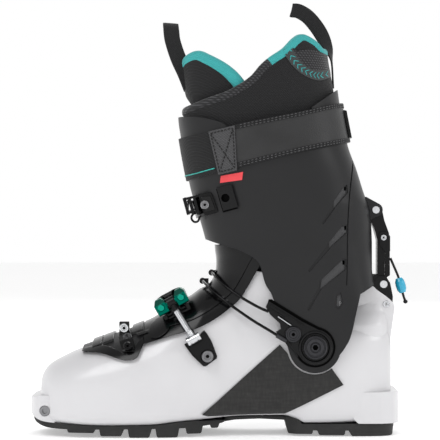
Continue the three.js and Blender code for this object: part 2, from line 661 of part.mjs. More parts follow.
function cuff() {
  const rearGap = box(100, 160, -22, 22, 90, 146).add(box(100, 160, -13, 13, 90, 173));
  const linkSlot = box(124.6, 160, -LINK_HALF - 0.5, LINK_HALF + 0.5, 150, 191);
  const frontSlit = box(-60, 30, SLIT_Y, SLIT_Y + 1, 120, 300);
  const pivots = crossBar(PIVOT.x, PIVOT.z, BOLT.shank + GAP, -FAR, FAR, 20);
  const rivet = crossBar(LINK.top.x, LINK.top.z, 2.7, -FAR, FAR);
  const walls = cuffBody(0).subtract(cuffBody(-CUFF_WALL)).intersect(sideSlab(CUFF_SIDE, -FAR, FAR));
  const openings = WINDOWS.map((corners) => sideSlab(corners, -FAR, FAR));
  return largest(
    openings
      .reduce((rest, opening) => rest.subtract(opening), walls.subtract(rearGap))
      .add(linkLug())
      .subtract(linkSlot)
      .subtract(frontSlit)
      .subtract(pivots)
      .subtract(rivet),
  );
}
add("cuff", cuff(), BLACK, COARSE);

function windowBacking(side) {
  const outline = [[85, 117], [84, 128], [90, 158], [94, 186], [100, 203], [106, 203], [106, 160], [104, 101],
    [95.5, 101], [94.5, 118]];
  return largest(
    layer(cuffBody, -CUFF_WALL - 1, -CUFF_WALL - 0.15, outline, ...(side === MEDIAL ? [-FAR, -14] : [14, FAR])),
  );
}
for (const side of [MEDIAL, LATERAL]) add("window_backing_" + tag(side), windowBacking(side), GREY);

// ---- Walk lock ----

function latchBracket() {
  const outline = [[118, 107.4], [145.6, 107.4], [145.8, 112], [143.6, 123], [140, 128.6], [134, 128.6],
    [128, 122], [124, 117], [118, 112]];
  return sideSlab(outline, -BRACKET_HALF, BRACKET_HALF)
    .subtract(box(122.6, 160, -LINK_HALF - 0.6, LINK_HALF + 0.6, 100, 140))
    .subtract(crossBar(LINK.pin.x, LINK.pin.z, 2.8, -FAR, FAR));
}
add("latch_bracket", latchBracket(), BLACK);

function latchPin(side) {
  return sideBar(side, LINK.pin.x, LINK.pin.z, 2.5, 6.5, BRACKET_HALF + 1, 16)
    .add(sideBar(side, LINK.pin.x, LINK.pin.z, 3.1, BRACKET_HALF + GAP, BRACKET_HALF + 1.4, 16));
}
for (const side of [MEDIAL, LATERAL]) add("latch_pin_" + tag(side), latchPin(side), STEEL);

function lockLink() {
  const outline = [...arc([LINK.top.x, LINK.top.z], 5.4, 150, 20, 8), [138.6, 170], [140.6, 160], [140.8, 117],
    [133.4, 117], [133.4, 158], [127.6, 176]];
  const groove = [[134.4, 112], [134.4, 136], [138.2, 140], [142, 136], [142, 112]];
  const front = [[130, 112], [130, 124], [142, 124], [142, 112]];
  const sides = [MEDIAL, LATERAL].flatMap((side) =>
    [groove, front].map((points) => sideSheet(side, points, 5.8, 12)),
  );
  return sides
    .reduce((rest, cut) => rest.subtract(cut), sideSlab(outline, -LINK_HALF, LINK_HALF))
    .subtract(crossBar(LINK.top.x, LINK.top.z, 2.7, -FAR, FAR))
    .subtract(box(139.2, 150, -LINK_HALF - 1, LINK_HALF + 1, 126, 168));
}
add("lock_link", largest(lockLink()), BLACK);

function rivet(x, z, radius, half) {
  const head = radius + 0.7;
  return crossBar(x, z, radius, -half, half)
    .add(crossBar(x, z, head, -half - 1.1, -half))
    .add(crossBar(x, z, head, half, half + 1.1));
}
add("link_rivet", rivet(LINK.top.x, LINK.top.z, 2.3, 12.7), STEEL);

function lockLever() {
  const web = [[139.6, LINK.lever.z], [143.6, LINK.lever.z], [143.8, 129], [141, 127], [139.6, 130]];
  const ears = [[135, 163], [138.4, 165.5], [143.6, 164], [143.6, 152], [139.6, 150], [135, 157]];
  const ear = (side) => sideSheet(side, ears, LINK_HALF + 0.4, LINK_HALF + 1.9);
  return sideSlab(web, -LINK_HALF - 1.9, LINK_HALF + 1.9)
    .subtract(box(130, 150, BETWEEN_PINS, 20, 100, 149))
    .subtract(box(130, 150, -20, -BETWEEN_PINS, 100, 149))
    .add(ear(MEDIAL))
    .add(ear(LATERAL))
    .subtract(box(130, 139.5, -LINK_HALF - 0.4, LINK_HALF + 0.4, 100, 180));
}
add("lock_lever", largest(lockLever()), BLACK);

// ---- Pull cord and bead ----

const CORD_R = 1;
const CORD = [[144.9, 0, 143], [146.6, 0, 139], [149.2, 0, 133], [151.4, 0, 127.6], [153.6, 0, 120],
  [155.6, 0, 112], [157.6, 0, 106.6]];

add("pull_cord", sweep(CORD, arc([0, 0], CORD_R, 0, 315, 7), 24), DARK);

function cordBead() {
  const profile = [[0, -6.6], [2.6, -6.2], [3.9, -3.6], [4.2, 0], [3.9, 3.6], [2.6, 6.2], [0, 6.6]];
  const geometry = new THREE.LatheGeometry(profile.map(([r, h]) => new THREE.Vector2(r, h)), 16);
  geometry.rotateX(Math.PI / 2).rotateY(THREE.MathUtils.degToRad(-16)).translate(153.4, 0, 120.6);
  return solidOf(geometry).subtract(sweep(CORD, arc([0, 0], CORD_R + 0.35, 0, 315, 7), 24));
}
add("cord_bead", cordBead(), BEAD);

// ---- Power strap ----

const STRAP_IN = 0.4;
const bandEdge = {
  top: smooth([[-40, 239], [-5.2, 244.8], [20.4, 251.2], [68.4, 260.8], [102.8, 269.2], [120, 272]]),
  bottom: smooth([[120, 241], [108.4, 237.6], [68.4, 228.8], [20.4, 216.8], [-2, 212.8], [-40, 203]]),
};
const band = [...bandEdge.top, ...bandEdge.bottom];
const clipX = (points, x0, x1) => sideSlab(points, -FAR, FAR).intersect(box(x0, x1, -FAR, FAR, 150, 300));

function strapLayer(from, to, x0, x1) {
  return cuffBody(to).subtract(cuffBody(from)).intersect(clipX(band, x0, x1));
}
add("strap_band", largest(strapLayer(STRAP_IN, 2.4, 8.3, 130)), STRAP, COARSE);
add("strap_webbing", largest(strapLayer(STRAP_IN, 2.2, -50, 8)), DARK);

function strapPatch(side) {
  const outline = [[-5, 245], [16, 249.6], [18, 214], [3, 210.6]];
  const y = side === MEDIAL ? [-FAR, -10] : [10, FAR];
  return largest(layer(cuffBody, 2.7, 3.9, outline, ...y));
}
for (const side of [MEDIAL, LATERAL]) add("strap_patch_" + tag(side), strapPatch(side), GREY);

function strapBuckle() {
  const outline = [[100, 266], [114, 262], [114, 242], [100, 240]];
  return largest(layer(cuffBody, 2.7, 5.2, outline, -14, 14));
}
add("strap_buckle", strapBuckle(), BLACK);

add("blank_tag", largest(layer(cuffBody, GAP, 1.5, [[4.4, 204], [5, 209.6], [22.8, 212.8], [22, 206.4]],
  -FAR, -10)), RED);

// ---- Cuff buckle ----

function cuffRack() {
  const slope = (x) => 184 + (x + 12) * 0.27;
  const outline = [[-40, slope(-40) - 7.6], [2, slope(2) - 7.6], [2, slope(2) + 7.6], [-40, slope(-40) + 7.6]];
  const base = layer(cuffBody, GAP, 2.6, outline, -36, 2);
  const teeth = [-6, -12, -18].map((y) => layer(cuffBody, GAP, 6.2, outline, y - 2.2, y));
  const block = layer(cuffBody, GAP, 5.4, outline, -33, -22.4);
  return largest(teeth.reduce((sum, tooth) => sum.add(tooth), base).add(block));
}
add("cuff_rack", cuffRack(), BLACK);
add("cuff_rack_screw", screw([-12.4, -34.2, 186], [-0.72, -0.69, 0.1],
  { head: 3.4, headHeight: 1.6, shank: 1.5, depth: 0.1 }), STEEL);

function sparePlate() {
  const outline = [[1.6, 199.6], [16, 202], [18.4, 184], [4, 181]];
  const hole = crossBar(8.6, 192, 3, -FAR, -20);
  return largest(layer(cuffBody, GAP, 2.8, outline, -FAR, -20).subtract(hole));
}
add("spare_plate", sparePlate(), BLACK);

const CUFF_HINGE = { x: 22, y: 51, z: 193 };

function cuffLeverBase() {
  const outline = [[12, 184], [34, 188], [32, 202], [10, 198]];
  return largest(layer(cuffBody, GAP, 2.2, outline, 20, FAR));
}
add("cuff_lever_base", cuffLeverBase(), BLACK);

function cuffLever() {
  const reach = (x, y, z) => [CUFF_HINGE.x + x, CUFF_HINGE.y + y, CUFF_HINGE.z + z];
  const arm = [[0, -5.4], [46, 2], [46, 12], [0, 5.4]].map(([x, z]) => [CUFF_HINGE.x + x, CUFF_HINGE.z + z]);
  const plate = sideSlab(arm, CUFF_HINGE.y + 2.2, CUFF_HINGE.y + 5);
  return plate.add(bar(reach(0, 1.6, -6.4), reach(0, 1.6, 6.4), 3, 14));
}
add("cuff_lever", cuffLever(), BLACK);

function cuffBail() {
  const run = (z) => [[10, 49.6, z + 1], [-2, 42, z - 2], [-12, 31, z - 5],
    [-19.4, 17, z - 7], [-21.8, 4, z - 7.6], [-22.2, -3.8, z - 8]];
  const pinEnd = (z) => [CUFF_HINGE.x, CUFF_HINGE.y + 1.6, z];
  const besideBarrel = (z) => [CUFF_HINGE.x - 5, CUFF_HINGE.y + 0.6, z];
  const upper = [pinEnd(CUFF_HINGE.z + 8.6), besideBarrel(CUFF_HINGE.z + 8), ...run(CUFF_HINGE.z + 4)];
  const lower = [pinEnd(CUFF_HINGE.z - 8.6), besideBarrel(CUFF_HINGE.z - 8), ...run(CUFF_HINGE.z - 4)].reverse();
  return sweep([...upper, [-22.2, -4.6, 181], ...lower], arc([0, 0], 1.2, 0, 315, 7), 60);
}
add("cuff_bail", cuffBail(), STEEL);

// ---- Lateral instep lever ----

function instepLever() {
  const along = [[64, 88.4], [36, 109.4], [31.4, 103.2], [58.6, 82]];
  const plate = sideSlab(along, 52.8, 55.4);
  return plate.add(bar([DISC.x - 4, 52.4, DISC.z - 2.6], [DISC.x + 2.6, 52.4, DISC.z + 6.2], 3, 14));
}
add("instep_lever", instepLever(), BLACK);

// ---- Liner ----

function linerFoot() {
  const rim = [[-60, 190], [-60, 140], [0, 140], [60, 136], [98, 126], [98, 190]];
  return largest(
    bootBody(-SHELL_WALL - 0.9)
      .subtract(bootBody(-SHELL_WALL - LINER_WALL))
      .subtract(sideSlab(rim, -FAR, FAR))
      .subtract(box(-150, -130, -FAR, FAR, 0, 60))
      .subtract(bar([PIVOT.x, -FAR, PIVOT.z], [PIVOT.x, -35.2, PIVOT.z], 6, 12))
      .subtract(bar([PIVOT.x, 35.2, PIVOT.z], [PIVOT.x, FAR, PIVOT.z], 6, 12)),
  );
}
add("liner_foot", linerFoot(), FOAM, 2 * COARSE);

add("insole", largest(bootBody(-SHELL_WALL - LINER_WALL - 1)
  .intersect(planSlab([[-128, -60], [138, -60], [138, 60], [-128, 60]], 0, 26))), TEAL);

const COLLAR_RIM = [[30, 162], [-60, 196], [-60, 266], [-26.8, 266], ...smooth([[-26.8, 266], [-8, 272], [8, 277], [20, 283],
  [32, 291], [40, 299], [48, 305], [60, 312], [72, 321.6], [81, 324], [88, 320]]), [120, 318], [140, 150]];

function linerCuff() {
  return largest(
    collarBody(0).subtract(collarBody(-LINER_WALL)).intersect(sideSlab(COLLAR_RIM, -FAR, FAR)),
  );
}
add("liner_cuff", linerCuff(), FOAM, 2 * COARSE);

function linerTongue() {
  const outline = [[-60, 200], [-60, 304.8], ...smooth([[-27.6, 304.8], [-23.6, 309.6], [-15.6, 312],
    [-7.6, 308.8], [4.4, 302.4], [14, 294.4], [19.6, 286.4]]), [12, 262], [2, 200]];
  const collarWall = collarBody(GAP)
    .subtract(collarBody(-LINER_WALL - GAP))
    .intersect(sideSlab(COLLAR_RIM.map(([x, z]) => [x, z + GAP]), -FAR, FAR));
  const pad = tongueBody(0).subtract(tongueBody(-8)).intersect(sideSlab(outline, -FAR, FAR));
  return largest(pad.subtract(collarWall));
}
add("liner_tongue", linerTongue(), FOAM, 2 * COARSE);

// ---- Pull loops ----

const LOOP = { foot: 283, bend: 325, half: 11, thick: 1.8, width: 13 };

// A ribbon bent over a loop that stands across the boot, wide along X.
function tongueLoop() {
  const inside = LOOP.half - LOOP.thick;
  const outer = [[-LOOP.half, LOOP.foot], ...arc([0, LOOP.bend], LOOP.half, 180, 0, 10), [LOOP.half, LOOP.foot]];
  const inner = [[inside, LOOP.foot], ...arc([0, LOOP.bend], inside, 0, 180, 10), [-inside, LOOP.foot]];
  const ribbon = shapeOf([...outer, ...inner]);
  const geometry = new THREE.ExtrudeGeometry(ribbon, { depth: LOOP.width, bevelEnabled: false });
  geometry.applyMatrix4(
    new THREE.Matrix4().makeBasis(
      new THREE.Vector3(0, 1, 0),
      new THREE.Vector3(-0.2, 0, 1),
      new THREE.Vector3(1, 0, 0),
    ),
  );
  return largest(solidOf(geometry.translate(25.2, 0, 0)).subtract(tongueBody(GAP)));
}
add("tongue_loop", tongueLoop(), STRAP);

function collarLoop() {
  const path = [[98.6, 0, 283], [95.6, 0, 304], [91.6, 0, 318], [83.6, 0, 333], [74, 0, 346.6], [67, 0, 352],
    [61.6, 0, 350.4], [61.6, 0, 343.6], [67, 0, 336.6], [74.6, 0, 331]];
  const section = [[-6.5, -0.9], [6.5, -0.9], [6.5, 0.9], [-6.5, 0.9]];
  return largest(sweep(path, section, 36).subtract(collarBody(GAP)));
}
add("collar_loop", collarLoop(), STRAP);

export default boot;
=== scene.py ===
"""The alpine touring boot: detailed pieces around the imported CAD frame. Lengths are millimetres until they
reach Blender, where MM turns them into metres."""

import bpy
import bmesh
import math
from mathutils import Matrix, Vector
from mathutils.noise import noise


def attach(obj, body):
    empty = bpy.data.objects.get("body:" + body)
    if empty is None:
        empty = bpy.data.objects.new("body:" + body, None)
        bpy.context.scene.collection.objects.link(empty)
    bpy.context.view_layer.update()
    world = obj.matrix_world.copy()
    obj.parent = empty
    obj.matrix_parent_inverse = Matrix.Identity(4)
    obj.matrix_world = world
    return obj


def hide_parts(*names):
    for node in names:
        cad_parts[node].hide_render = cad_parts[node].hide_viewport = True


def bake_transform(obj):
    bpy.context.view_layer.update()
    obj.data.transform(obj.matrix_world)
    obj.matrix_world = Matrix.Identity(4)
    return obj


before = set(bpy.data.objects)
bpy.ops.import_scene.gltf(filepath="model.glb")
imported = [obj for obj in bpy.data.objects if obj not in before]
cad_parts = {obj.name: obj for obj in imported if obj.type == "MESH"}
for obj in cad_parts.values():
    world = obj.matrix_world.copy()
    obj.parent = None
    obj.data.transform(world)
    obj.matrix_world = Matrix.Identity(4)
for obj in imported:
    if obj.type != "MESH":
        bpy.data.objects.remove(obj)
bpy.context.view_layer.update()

MM = 0.001
GAP = 0.3
FAR = 70  # beyond the boot's half width
MEDIAL = -1
LATERAL = 1
SIDES = ((MEDIAL, "medial"), (LATERAL, "lateral"))
PIVOT = (80.4, 72.8)
SHELL_WALL = 4
CUFF_WALL = 3
LINER_WALL = 7
RING_POINTS = 132
SHARP = 32  # degrees between faces from which an edge stays sharp


# ---- Camera ----

def make_camera():
    """A long lens level with the middle of the boot, looking across it at its inner side."""
    plane_y, field, lens, sensor = -45, 352, 150, 36
    data = bpy.data.cameras.new("camera")
    data.lens = lens
    data.sensor_width = sensor
    camera = bpy.data.objects.new("camera", data)
    bpy.context.scene.collection.objects.link(camera)
    camera.location = (4.4 * MM, (plane_y - field * lens / sensor) * MM, 174.4 * MM)
    camera.rotation_euler = (math.pi / 2, 0, 0)
    bpy.context.scene.camera = camera


make_camera()


# ---- Materials ----

def node(tree, kind, **values):
    made = tree.nodes.new("ShaderNode" + kind)
    for name, value in values.items():
        if name in made.inputs:
            made.inputs[name].default_value = value
        else:
            setattr(made, name, value)
    return made


class Paint:
    """A Principled material that bumps, mottling and edge rounding are added to."""

    def __init__(self, name, color, roughness, metallic=0.0, **settings):
        self.material = bpy.data.materials.new(name)
        self.material.use_nodes = True
        self.tree = self.material.node_tree
        self.shader = self.tree.nodes["Principled BSDF"]
        self.shader.inputs["Base Color"].default_value = (*color, 1)
        self.shader.inputs["Roughness"].default_value = roughness
        self.shader.inputs["Metallic"].default_value = metallic
        for key, value in settings.items():
            self.shader.inputs[key.replace("_", " ")].default_value = value
        self.color = color
        self.roughness = roughness
        self.place = node(self.tree, "TexCoord").outputs["Object"]
        self.normal = None

    def link(self, a, b):
        self.tree.links.new(a, b)
        return self

    def noise(self, scale, detail=4.0, stretch=None):
        made = node(self.tree, "TexNoise", Scale=scale, Detail=detail)
        self.link(self.stretched(stretch), made.inputs["Vector"])
        return made.outputs["Fac"]

    def stretched(self, stretch):
        if not stretch:
            return self.place
        mapping = node(self.tree, "Mapping", Scale=stretch)
        self.link(self.place, mapping.inputs["Vector"])
        return mapping.outputs["Vector"]

    def waves(self, scale, direction, distortion):
        made = node(self.tree, "TexWave", Scale=scale, Distortion=distortion)
        made.bands_direction = direction
        self.link(self.place, made.inputs["Vector"])
        return made.outputs["Fac"]

    def cells(self, scale):
        made = node(self.tree, "TexVoronoi", Scale=scale)
        self.link(self.place, made.inputs["Vector"])
        return made.outputs["Distance"]

    def math(self, operation, a, b):
        made = node(self.tree, "Math", operation=operation)
        for socket, value in zip(made.inputs, (a, b)):
            if isinstance(value, (int, float)):
                socket.default_value = value
            else:
                self.link(value, socket)
        return made.outputs[0]

    def rounded(self, radius):
        """Edges catch the light as if they were rounded."""
        made = node(self.tree, "Bevel", Radius=radius * MM)
        made.samples = 4
        self.normal = made.outputs["Normal"]
        self.link(self.normal, self.shader.inputs["Normal"])
        return self

    def bump(self, height, depth):
        made = node(self.tree, "Bump", Strength=1.0, Distance=depth * MM)
        self.link(height, made.inputs["Height"])
        if self.normal:
            self.link(self.normal, made.inputs["Normal"])
        self.normal = made.outputs["Normal"]
        self.link(self.normal, self.shader.inputs["Normal"])
        return self

    def tint(self, factor, other, low=0.3, high=0.7):
        """The colour turns towards another as the factor goes from low to high."""
        ramp = node(self.tree, "ValToRGB")
        ramp.color_ramp.elements[0].position = low
        ramp.color_ramp.elements[1].position = high
        ramp.color_ramp.elements[0].color = (*self.color, 1)
        ramp.color_ramp.elements[1].color = (*other, 1)
        self.link(factor, ramp.inputs["Fac"])
        self.link(ramp.outputs["Color"], self.shader.inputs["Base Color"])
        return self

    def vary_roughness(self, factor, spread):
        made = node(self.tree, "MapRange")
        made.inputs["To Min"].default_value = self.roughness - spread
        made.inputs["To Max"].default_value = self.roughness + spread
        self.link(factor, made.inputs["Value"])
        self.link(made.outputs["Result"], self.shader.inputs["Roughness"])
        return self


def plastic(name, color, roughness, grain=0.03, edge=0.5, coat=0.0, mottle=None, shine=0.5):
    paint = Paint(name, color, roughness, Coat_Weight=coat, Coat_Roughness=0.12, Specular_IOR_Level=shine)
    paint.rounded(edge)
    paint.bump(paint.noise(1400, 3), grain)
    paint.vary_roughness(paint.noise(60), 0.05)
    paint.tint(paint.noise(25, 6), mottle or [c * 1.12 for c in color], 0.35, 0.75)
    return paint.material


def metal(name, color, roughness, brush=(60, 60, 900), edge=0.3):
    paint = Paint(name, color, roughness, 1.0)
    paint.rounded(edge)
    scratches = paint.noise(30, 5, brush)
    paint.bump(scratches, 0.02)
    paint.vary_roughness(scratches, 0.08)
    paint.tint(paint.noise(90), [c * 0.82 for c in color])
    return paint.material


def cloth(name, color, thread, depth, light=1.9, sheen=0.25):
    """A knit or woven cloth whose threads are that many millimetres apart."""
    paint = Paint(name, color, 0.9, Sheen_Weight=sheen, Sheen_Roughness=0.4)
    across = paint.waves(WAVE_PERIOD / (thread * MM), "DIAGONAL", 0.6)
    up = paint.waves(WAVE_PERIOD / (thread * MM), "Z", 0.6)
    weave = paint.math("MULTIPLY", across, up)
    fuzz = paint.noise(700, 5)
    paint.tint(weave, [c * light for c in color], 0.1, 0.9)
    paint.bump(paint.math("ADD", weave, paint.math("MULTIPLY", fuzz, 0.5)), depth)
    return paint.material


WAVE_PERIOD = math.pi / 10  # between the bands of a wave texture whose scale is 1

WHITE = plastic("shell_plastic", (0.66, 0.655, 0.67), 0.3, 0.006, 0.8, 0.3, (0.63, 0.625, 0.64))
BLACK = plastic("cuff_plastic", (0.009, 0.009, 0.0098), 0.42, 0.012, 0.6, 0.0, None, 0.3)
SATIN = plastic("satin_plastic", (0.003, 0.003, 0.0034), 0.2, 0.008, 0.6, 0.08, None, 0.25)
HARD = plastic("hard_plastic", (0.003, 0.003, 0.0034), 0.24, 0.012, 0.6, 0.0, None, 0.2)
BEAD_BLUE = plastic("bead_plastic", (0.02, 0.36, 0.55), 0.2, 0.01, 0.5, 0.5)
STEEL = metal("bright_steel", (0.66, 0.67, 0.69), 0.2)
# A near-black matte paint for painted shade: inside sockets, in a hole, and as sheets of painted shadow under
# plates.
PAINTED_SHADE_BLACK = plastic("painted_shade_black", (0.0008, 0.0008, 0.0008), 0.7, 0.01, 0.2, 0.0, None, 0.05)
PIVOT_METAL = metal("pivot_metal", (0.05, 0.05, 0.054), 0.28)
WORN_STEEL = metal("worn_steel", (0.28, 0.28, 0.29), 0.3)
DARK_STEEL = metal("dark_steel", (0.09, 0.09, 0.095), 0.32)
GREEN = metal("green_anodised", (0.0, 0.13, 0.09), 0.28)
BRIGHT_GREEN = metal("green_boss", (0.01, 0.34, 0.24), 0.25)
LINER = cloth("liner_knit", (0.0045, 0.0045, 0.005), 1.1, 0.22, 3.0, 0.1)
LINER_SMOOTH = cloth("liner_lining", (0.007, 0.007, 0.009), 0.8, 0.08)
TEAL = cloth("teal_lining", (0.035, 0.33, 0.33), 0.9, 0.14, 1.3)
BINDING = cloth("edge_binding", (0.012, 0.012, 0.013), 1.9, 0.35, 5.0)
WEBBING = cloth("webbing", (0.0055, 0.0055, 0.006), 1.0, 0.2, 2.4, 0.1)
TEAL_LINE = cloth("teal_thread", (0.03, 0.30, 0.26), 0.8, 0.1)
GREY_WEB = cloth("grey_webbing", (0.050, 0.050, 0.052), 1.0, 0.18, 1.7)
WINDOW_MESH = cloth("window_mesh", (0.045, 0.045, 0.047), 0.9, 0.25, 2.2)
GREY_KNIT = cloth("grey_knit", (0.030, 0.034, 0.034), 0.9, 0.15, 2.6)
THREAD = cloth("stitching", (0.055, 0.055, 0.057), 0.5, 0.1, 1.6)
DARK_THREAD = cloth("dark_stitching", (0.006, 0.006, 0.006), 0.5, 0.1, 1.6)
TAG_RED = cloth("red_tag", (0.75, 0.07, 0.08), 0.5, 0.04, 1.1)


def carbon():
    """Short dark fibres pressed into a clear resin, with a sheen that changes from patch to patch."""
    paint = Paint("pressed_carbon", (0.006, 0.0058, 0.0055), 0.42, Specular_IOR_Level=0.4)
    paint.rounded(0.3)
    along = paint.noise(40, 6, (2, 2, 14))
    across = paint.noise(55, 6, (12, 2, 3))
    fibres = paint.math("MULTIPLY", along, across)
    paint.tint(fibres, (0.024, 0.023, 0.022), 0.15, 0.5)
    paint.vary_roughness(along, 0.12)
    paint.bump(fibres, 0.15)
    return paint.material


def rubber():
    paint = Paint("sole_rubber", (0.010, 0.010, 0.010), 0.7)
    paint.rounded(0.6)
    paint.tint(paint.noise(50, 6), (0.022, 0.022, 0.021), 0.4, 0.8)
    paint.bump(paint.math("ADD", paint.noise(500, 5), paint.noise(90)), 0.12)
    return paint.material


def leather():
    paint = Paint("strap_leather", (0.014, 0.014, 0.0145), 0.45, Specular_IOR_Level=0.4)
    paint.rounded(0.5)
    paint.tint(paint.noise(40, 6), (0.024, 0.024, 0.025), 0.3, 0.8)
    pores = paint.cells(900)
    paint.bump(paint.math("ADD", pores, paint.math("MULTIPLY", paint.noise(120, 6), 1.4)), 0.12)
    return paint.material


def soft_shell():
    """The stretch gaiter over the toes: a smooth rubbery cloth."""
    paint = Paint("gaiter_cloth", (0.004, 0.004, 0.0045), 0.4, Sheen_Weight=0.05, Specular_IOR_Level=0.35)
    paint.tint(paint.noise(30, 5), (0.010, 0.010, 0.011))
    paint.bump(paint.math("ADD", paint.cells(1300), paint.noise(90, 5)), 0.12)
    return paint.material


CARBON = carbon()
RUBBER = rubber()
LEATHER = leather()
GAITER = soft_shell()


# ---- Mesh helpers ----

def mesh_object(name, vertices, faces):
    mesh = bpy.data.meshes.new(name)
    mesh.from_pydata([tuple(c * MM for c in v) for v in vertices], [], faces)
    mesh.update()
    made = bpy.data.objects.new(name, mesh)
    bpy.context.scene.collection.objects.link(made)
    return made


def outward(made):
    """Turns the faces of a closed mesh outwards."""
    work = bmesh.new()
    work.from_mesh(made.data)
    bmesh.ops.recalc_face_normals(work, faces=work.faces)
    work.to_mesh(made.data)
    work.free()
    return made


def loft(name, rings):
    """A closed body through rings of equal point counts."""
    size = len(rings[0])
    vertices = [v for ring in rings for v in ring]
    faces = [tuple(reversed(range(size))), tuple(range(len(vertices) - size, len(vertices)))]
    for r in range(len(rings) - 1):
        for i in range(size):
            a = r * size + i
            b = r * size + (i + 1) % size
            faces.append((a, b, b + size, a + size))
    return outward(mesh_object(name, vertices, faces))


def prism(name, outline, place):
    """An outline of pairs, made solid between two depths by place(a, b, end) with end 0 or 1."""
    size = len(outline)
    vertices = [place(a, b, end) for end in (0, 1) for a, b in outline]
    faces = [tuple(range(size)), tuple(range(2 * size - 1, size - 1, -1))]
    for i in range(size):
        j = (i + 1) % size
        faces.append((i, j, j + size, i + size))
    return outward(mesh_object(name, vertices, faces))


def span(side, near, far):
    """The two ends along Y of a stretch on one side of the boot, the lower one first."""
    return sorted((side * near, side * far))


def side_slab(outline, y0, y1, name="slab"):
    return prism(name, outline, lambda x, z, end: (x, (y0, y1)[end], z))


def plan_slab(outline, z0, z1, name="slab"):
    return prism(name, outline, lambda x, y, end: (x, y, (z0, z1)[end]))


def block(x0, x1, y0, y1, z0, z1):
    return side_slab([(x0, z0), (x1, z0), (x1, z1), (x0, z1)], y0, y1)


def ring_of(centre, radius, first, last, steps=24):
    """Points of an arc from one angle to another, in degrees."""
    angles = [math.radians(first + (last - first) * i / steps) for i in range(steps + 1)]
    return [(centre[0] + radius * math.cos(a), centre[1] + radius * math.sin(a)) for a in angles]


def rod(start, end, radius, sides=32, name="rod"):
    """A round bar between two points."""
    a, b = Vector(start), Vector(end)
    turn = Vector((0, 0, 1)).rotation_difference((b - a).normalized())
    ring = [Vector((radius * math.cos(t), radius * math.sin(t), 0)) for t in circle(sides)]
    return loft(name, [[tuple(turn @ v + p) for v in ring] for p in (a, b)])


def circle(count):
    return [2 * math.pi * i / count for i in range(count)]


def across(x, z, radius, y0, y1, sides=32, name="rod"):
    return rod((x, y0, z), (x, y1, z), radius, sides, name)


def lathe(name, at, axis, profile, sides=40):
    """A round body: the profile's pairs are a radius and a height along the axis."""
    turn = Vector((0, 0, 1)).rotation_difference(Vector(axis).normalized())
    base = Vector(at)
    rings = [[tuple(base + turn @ Vector((r * math.cos(t), r * math.sin(t), h))) for t in circle(sides)]
             for r, h in profile]
    return loft(name, rings)


def socket_screw(name, at, axis, radius, height, material, body, replaced=(), slot="steel"):
    """A low round head with a turned ring and a six-sided socket."""
    profile = [(radius, -1), (radius, height * 0.55), (radius * 0.86, height), (radius * 0.66, height),
               (radius * 0.6, height * 0.78), (radius * 0.5, height * 0.78), (radius * 0.44, height),
               (radius * 0.2, height)]
    head = lathe(name, at, axis, profile)
    way = Vector(axis).normalized()
    start = Vector(at) + way * (height - radius * 0.35)
    cut(head, rod(start, start + way * radius, radius * 0.34, 6))
    dress(head, material, slot, body, replaced, 30)
    # The socket is painted black inside as painted shade.
    return paint_socket_shade(head, at, axis, radius * 0.36, height - 0.05)


def paint_socket_shade(made, at, axis, radius, top):
    """The faces of a socket, inside a radius and below a height, turn black: painted shade in the socket."""
    made.data.materials.append(PAINTED_SHADE_BLACK)
    way = Vector(axis).normalized()
    for face in made.data.polygons:
        off = face.center / MM - Vector(at)
        height = off.dot(way)
        if height < top and (off - way * height).length < radius:
            face.material_index = 1
    return made


def sweep(name, line, broad, half_width, half_thick, power=2, sides=20):
    """A band or roll along a line of points; broad holds its wide direction at each point."""
    line = [Vector(p) for p in line]
    rings = []
    for i, point in enumerate(line):
        along = (line[min(i + 1, len(line) - 1)] - line[max(i - 1, 0)]).normalized()
        wide = Vector(broad[i])
        wide = (wide - along * wide.dot(along)).normalized()
        out = along.cross(wide).normalized()
        ring = []
        for t in circle(sides):
            c, s = super_point(t, power)
            ring.append(tuple(point + wide * c * half_width + out * s * half_thick))
        rings.append(ring)
    return loft(name, rings)


def combine(made, other, operation):
    """Joins another closed body to this one, or cuts it away, or keeps what they share."""
    modifier = made.modifiers.new("combine", "BOOLEAN")
    modifier.operation = operation
    modifier.solver = "MANIFOLD"
    modifier.object = other
    bpy.context.view_layer.update()
    graph = bpy.context.evaluated_depsgraph_get()
    mesh = bpy.data.meshes.new_from_object(made.evaluated_get(graph))
    made.modifiers.clear()
    made.data = mesh
    bpy.data.objects.remove(other, do_unlink=True)
    return made


def join(made, *others):
    for other in others:
        combine(made, other, "UNION")
    return made


def cut(made, *others):
    for other in others:
        combine(made, other, "DIFFERENCE")
    return made


def share(made, other):
    return combine(made, other, "INTERSECT")


def smooth_points(points, steps=8):
    """A smooth line through points of any dimension (Catmull-Rom)."""
    ends = [points[0], *points, points[-1]]
    line = []
    for i in range(1, len(ends) - 2):
        p0, p1, p2, p3 = (Vector(p) for p in ends[i - 1 : i + 3])
        for k in range(steps):
            t = k / steps
            line.append(
                tuple(
                    0.5
                    * (2 * p1 + (p2 - p0) * t + (2 * p0 - 5 * p1 + 4 * p2 - p3) * t * t
                       + (3 * p1 - p0 - 3 * p2 + p3) * t**3)
                )
            )
    return line + [tuple(points[-1])]


def outline(*parts):
    """Straight and curved stretches in turn: a part is one point, or a list that a curve follows."""
    points = []
    for part in parts:
        points += smooth_points(part) if isinstance(part, list) else [part]
    return points


def dress(made, material, slot, body, replaced=(), angle=SHARP, bevel=0.0):
    """Gives a new piece its look, its body and the CAD nodes that it stands for."""
    made.data.materials.clear()
    made.data.materials.append(material)
    shade(made, angle)
    if bevel:
        round_edges(made, bevel, angle)
    if body:
        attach(made, body)
    if replaced:
        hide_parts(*replaced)
    return made


def shade(made, angle):
    made.data.shade_smooth()
    made.data.set_sharp_from_angle(angle=math.radians(angle))


def round_edges(made, width, angle):
    modifier = made.modifiers.new("round", "BEVEL")
    modifier.width = width * MM
    modifier.segments = 2
    modifier.limit_method = "ANGLE"
    modifier.angle_limit = math.radians(angle)
    modifier.harden_normals = True


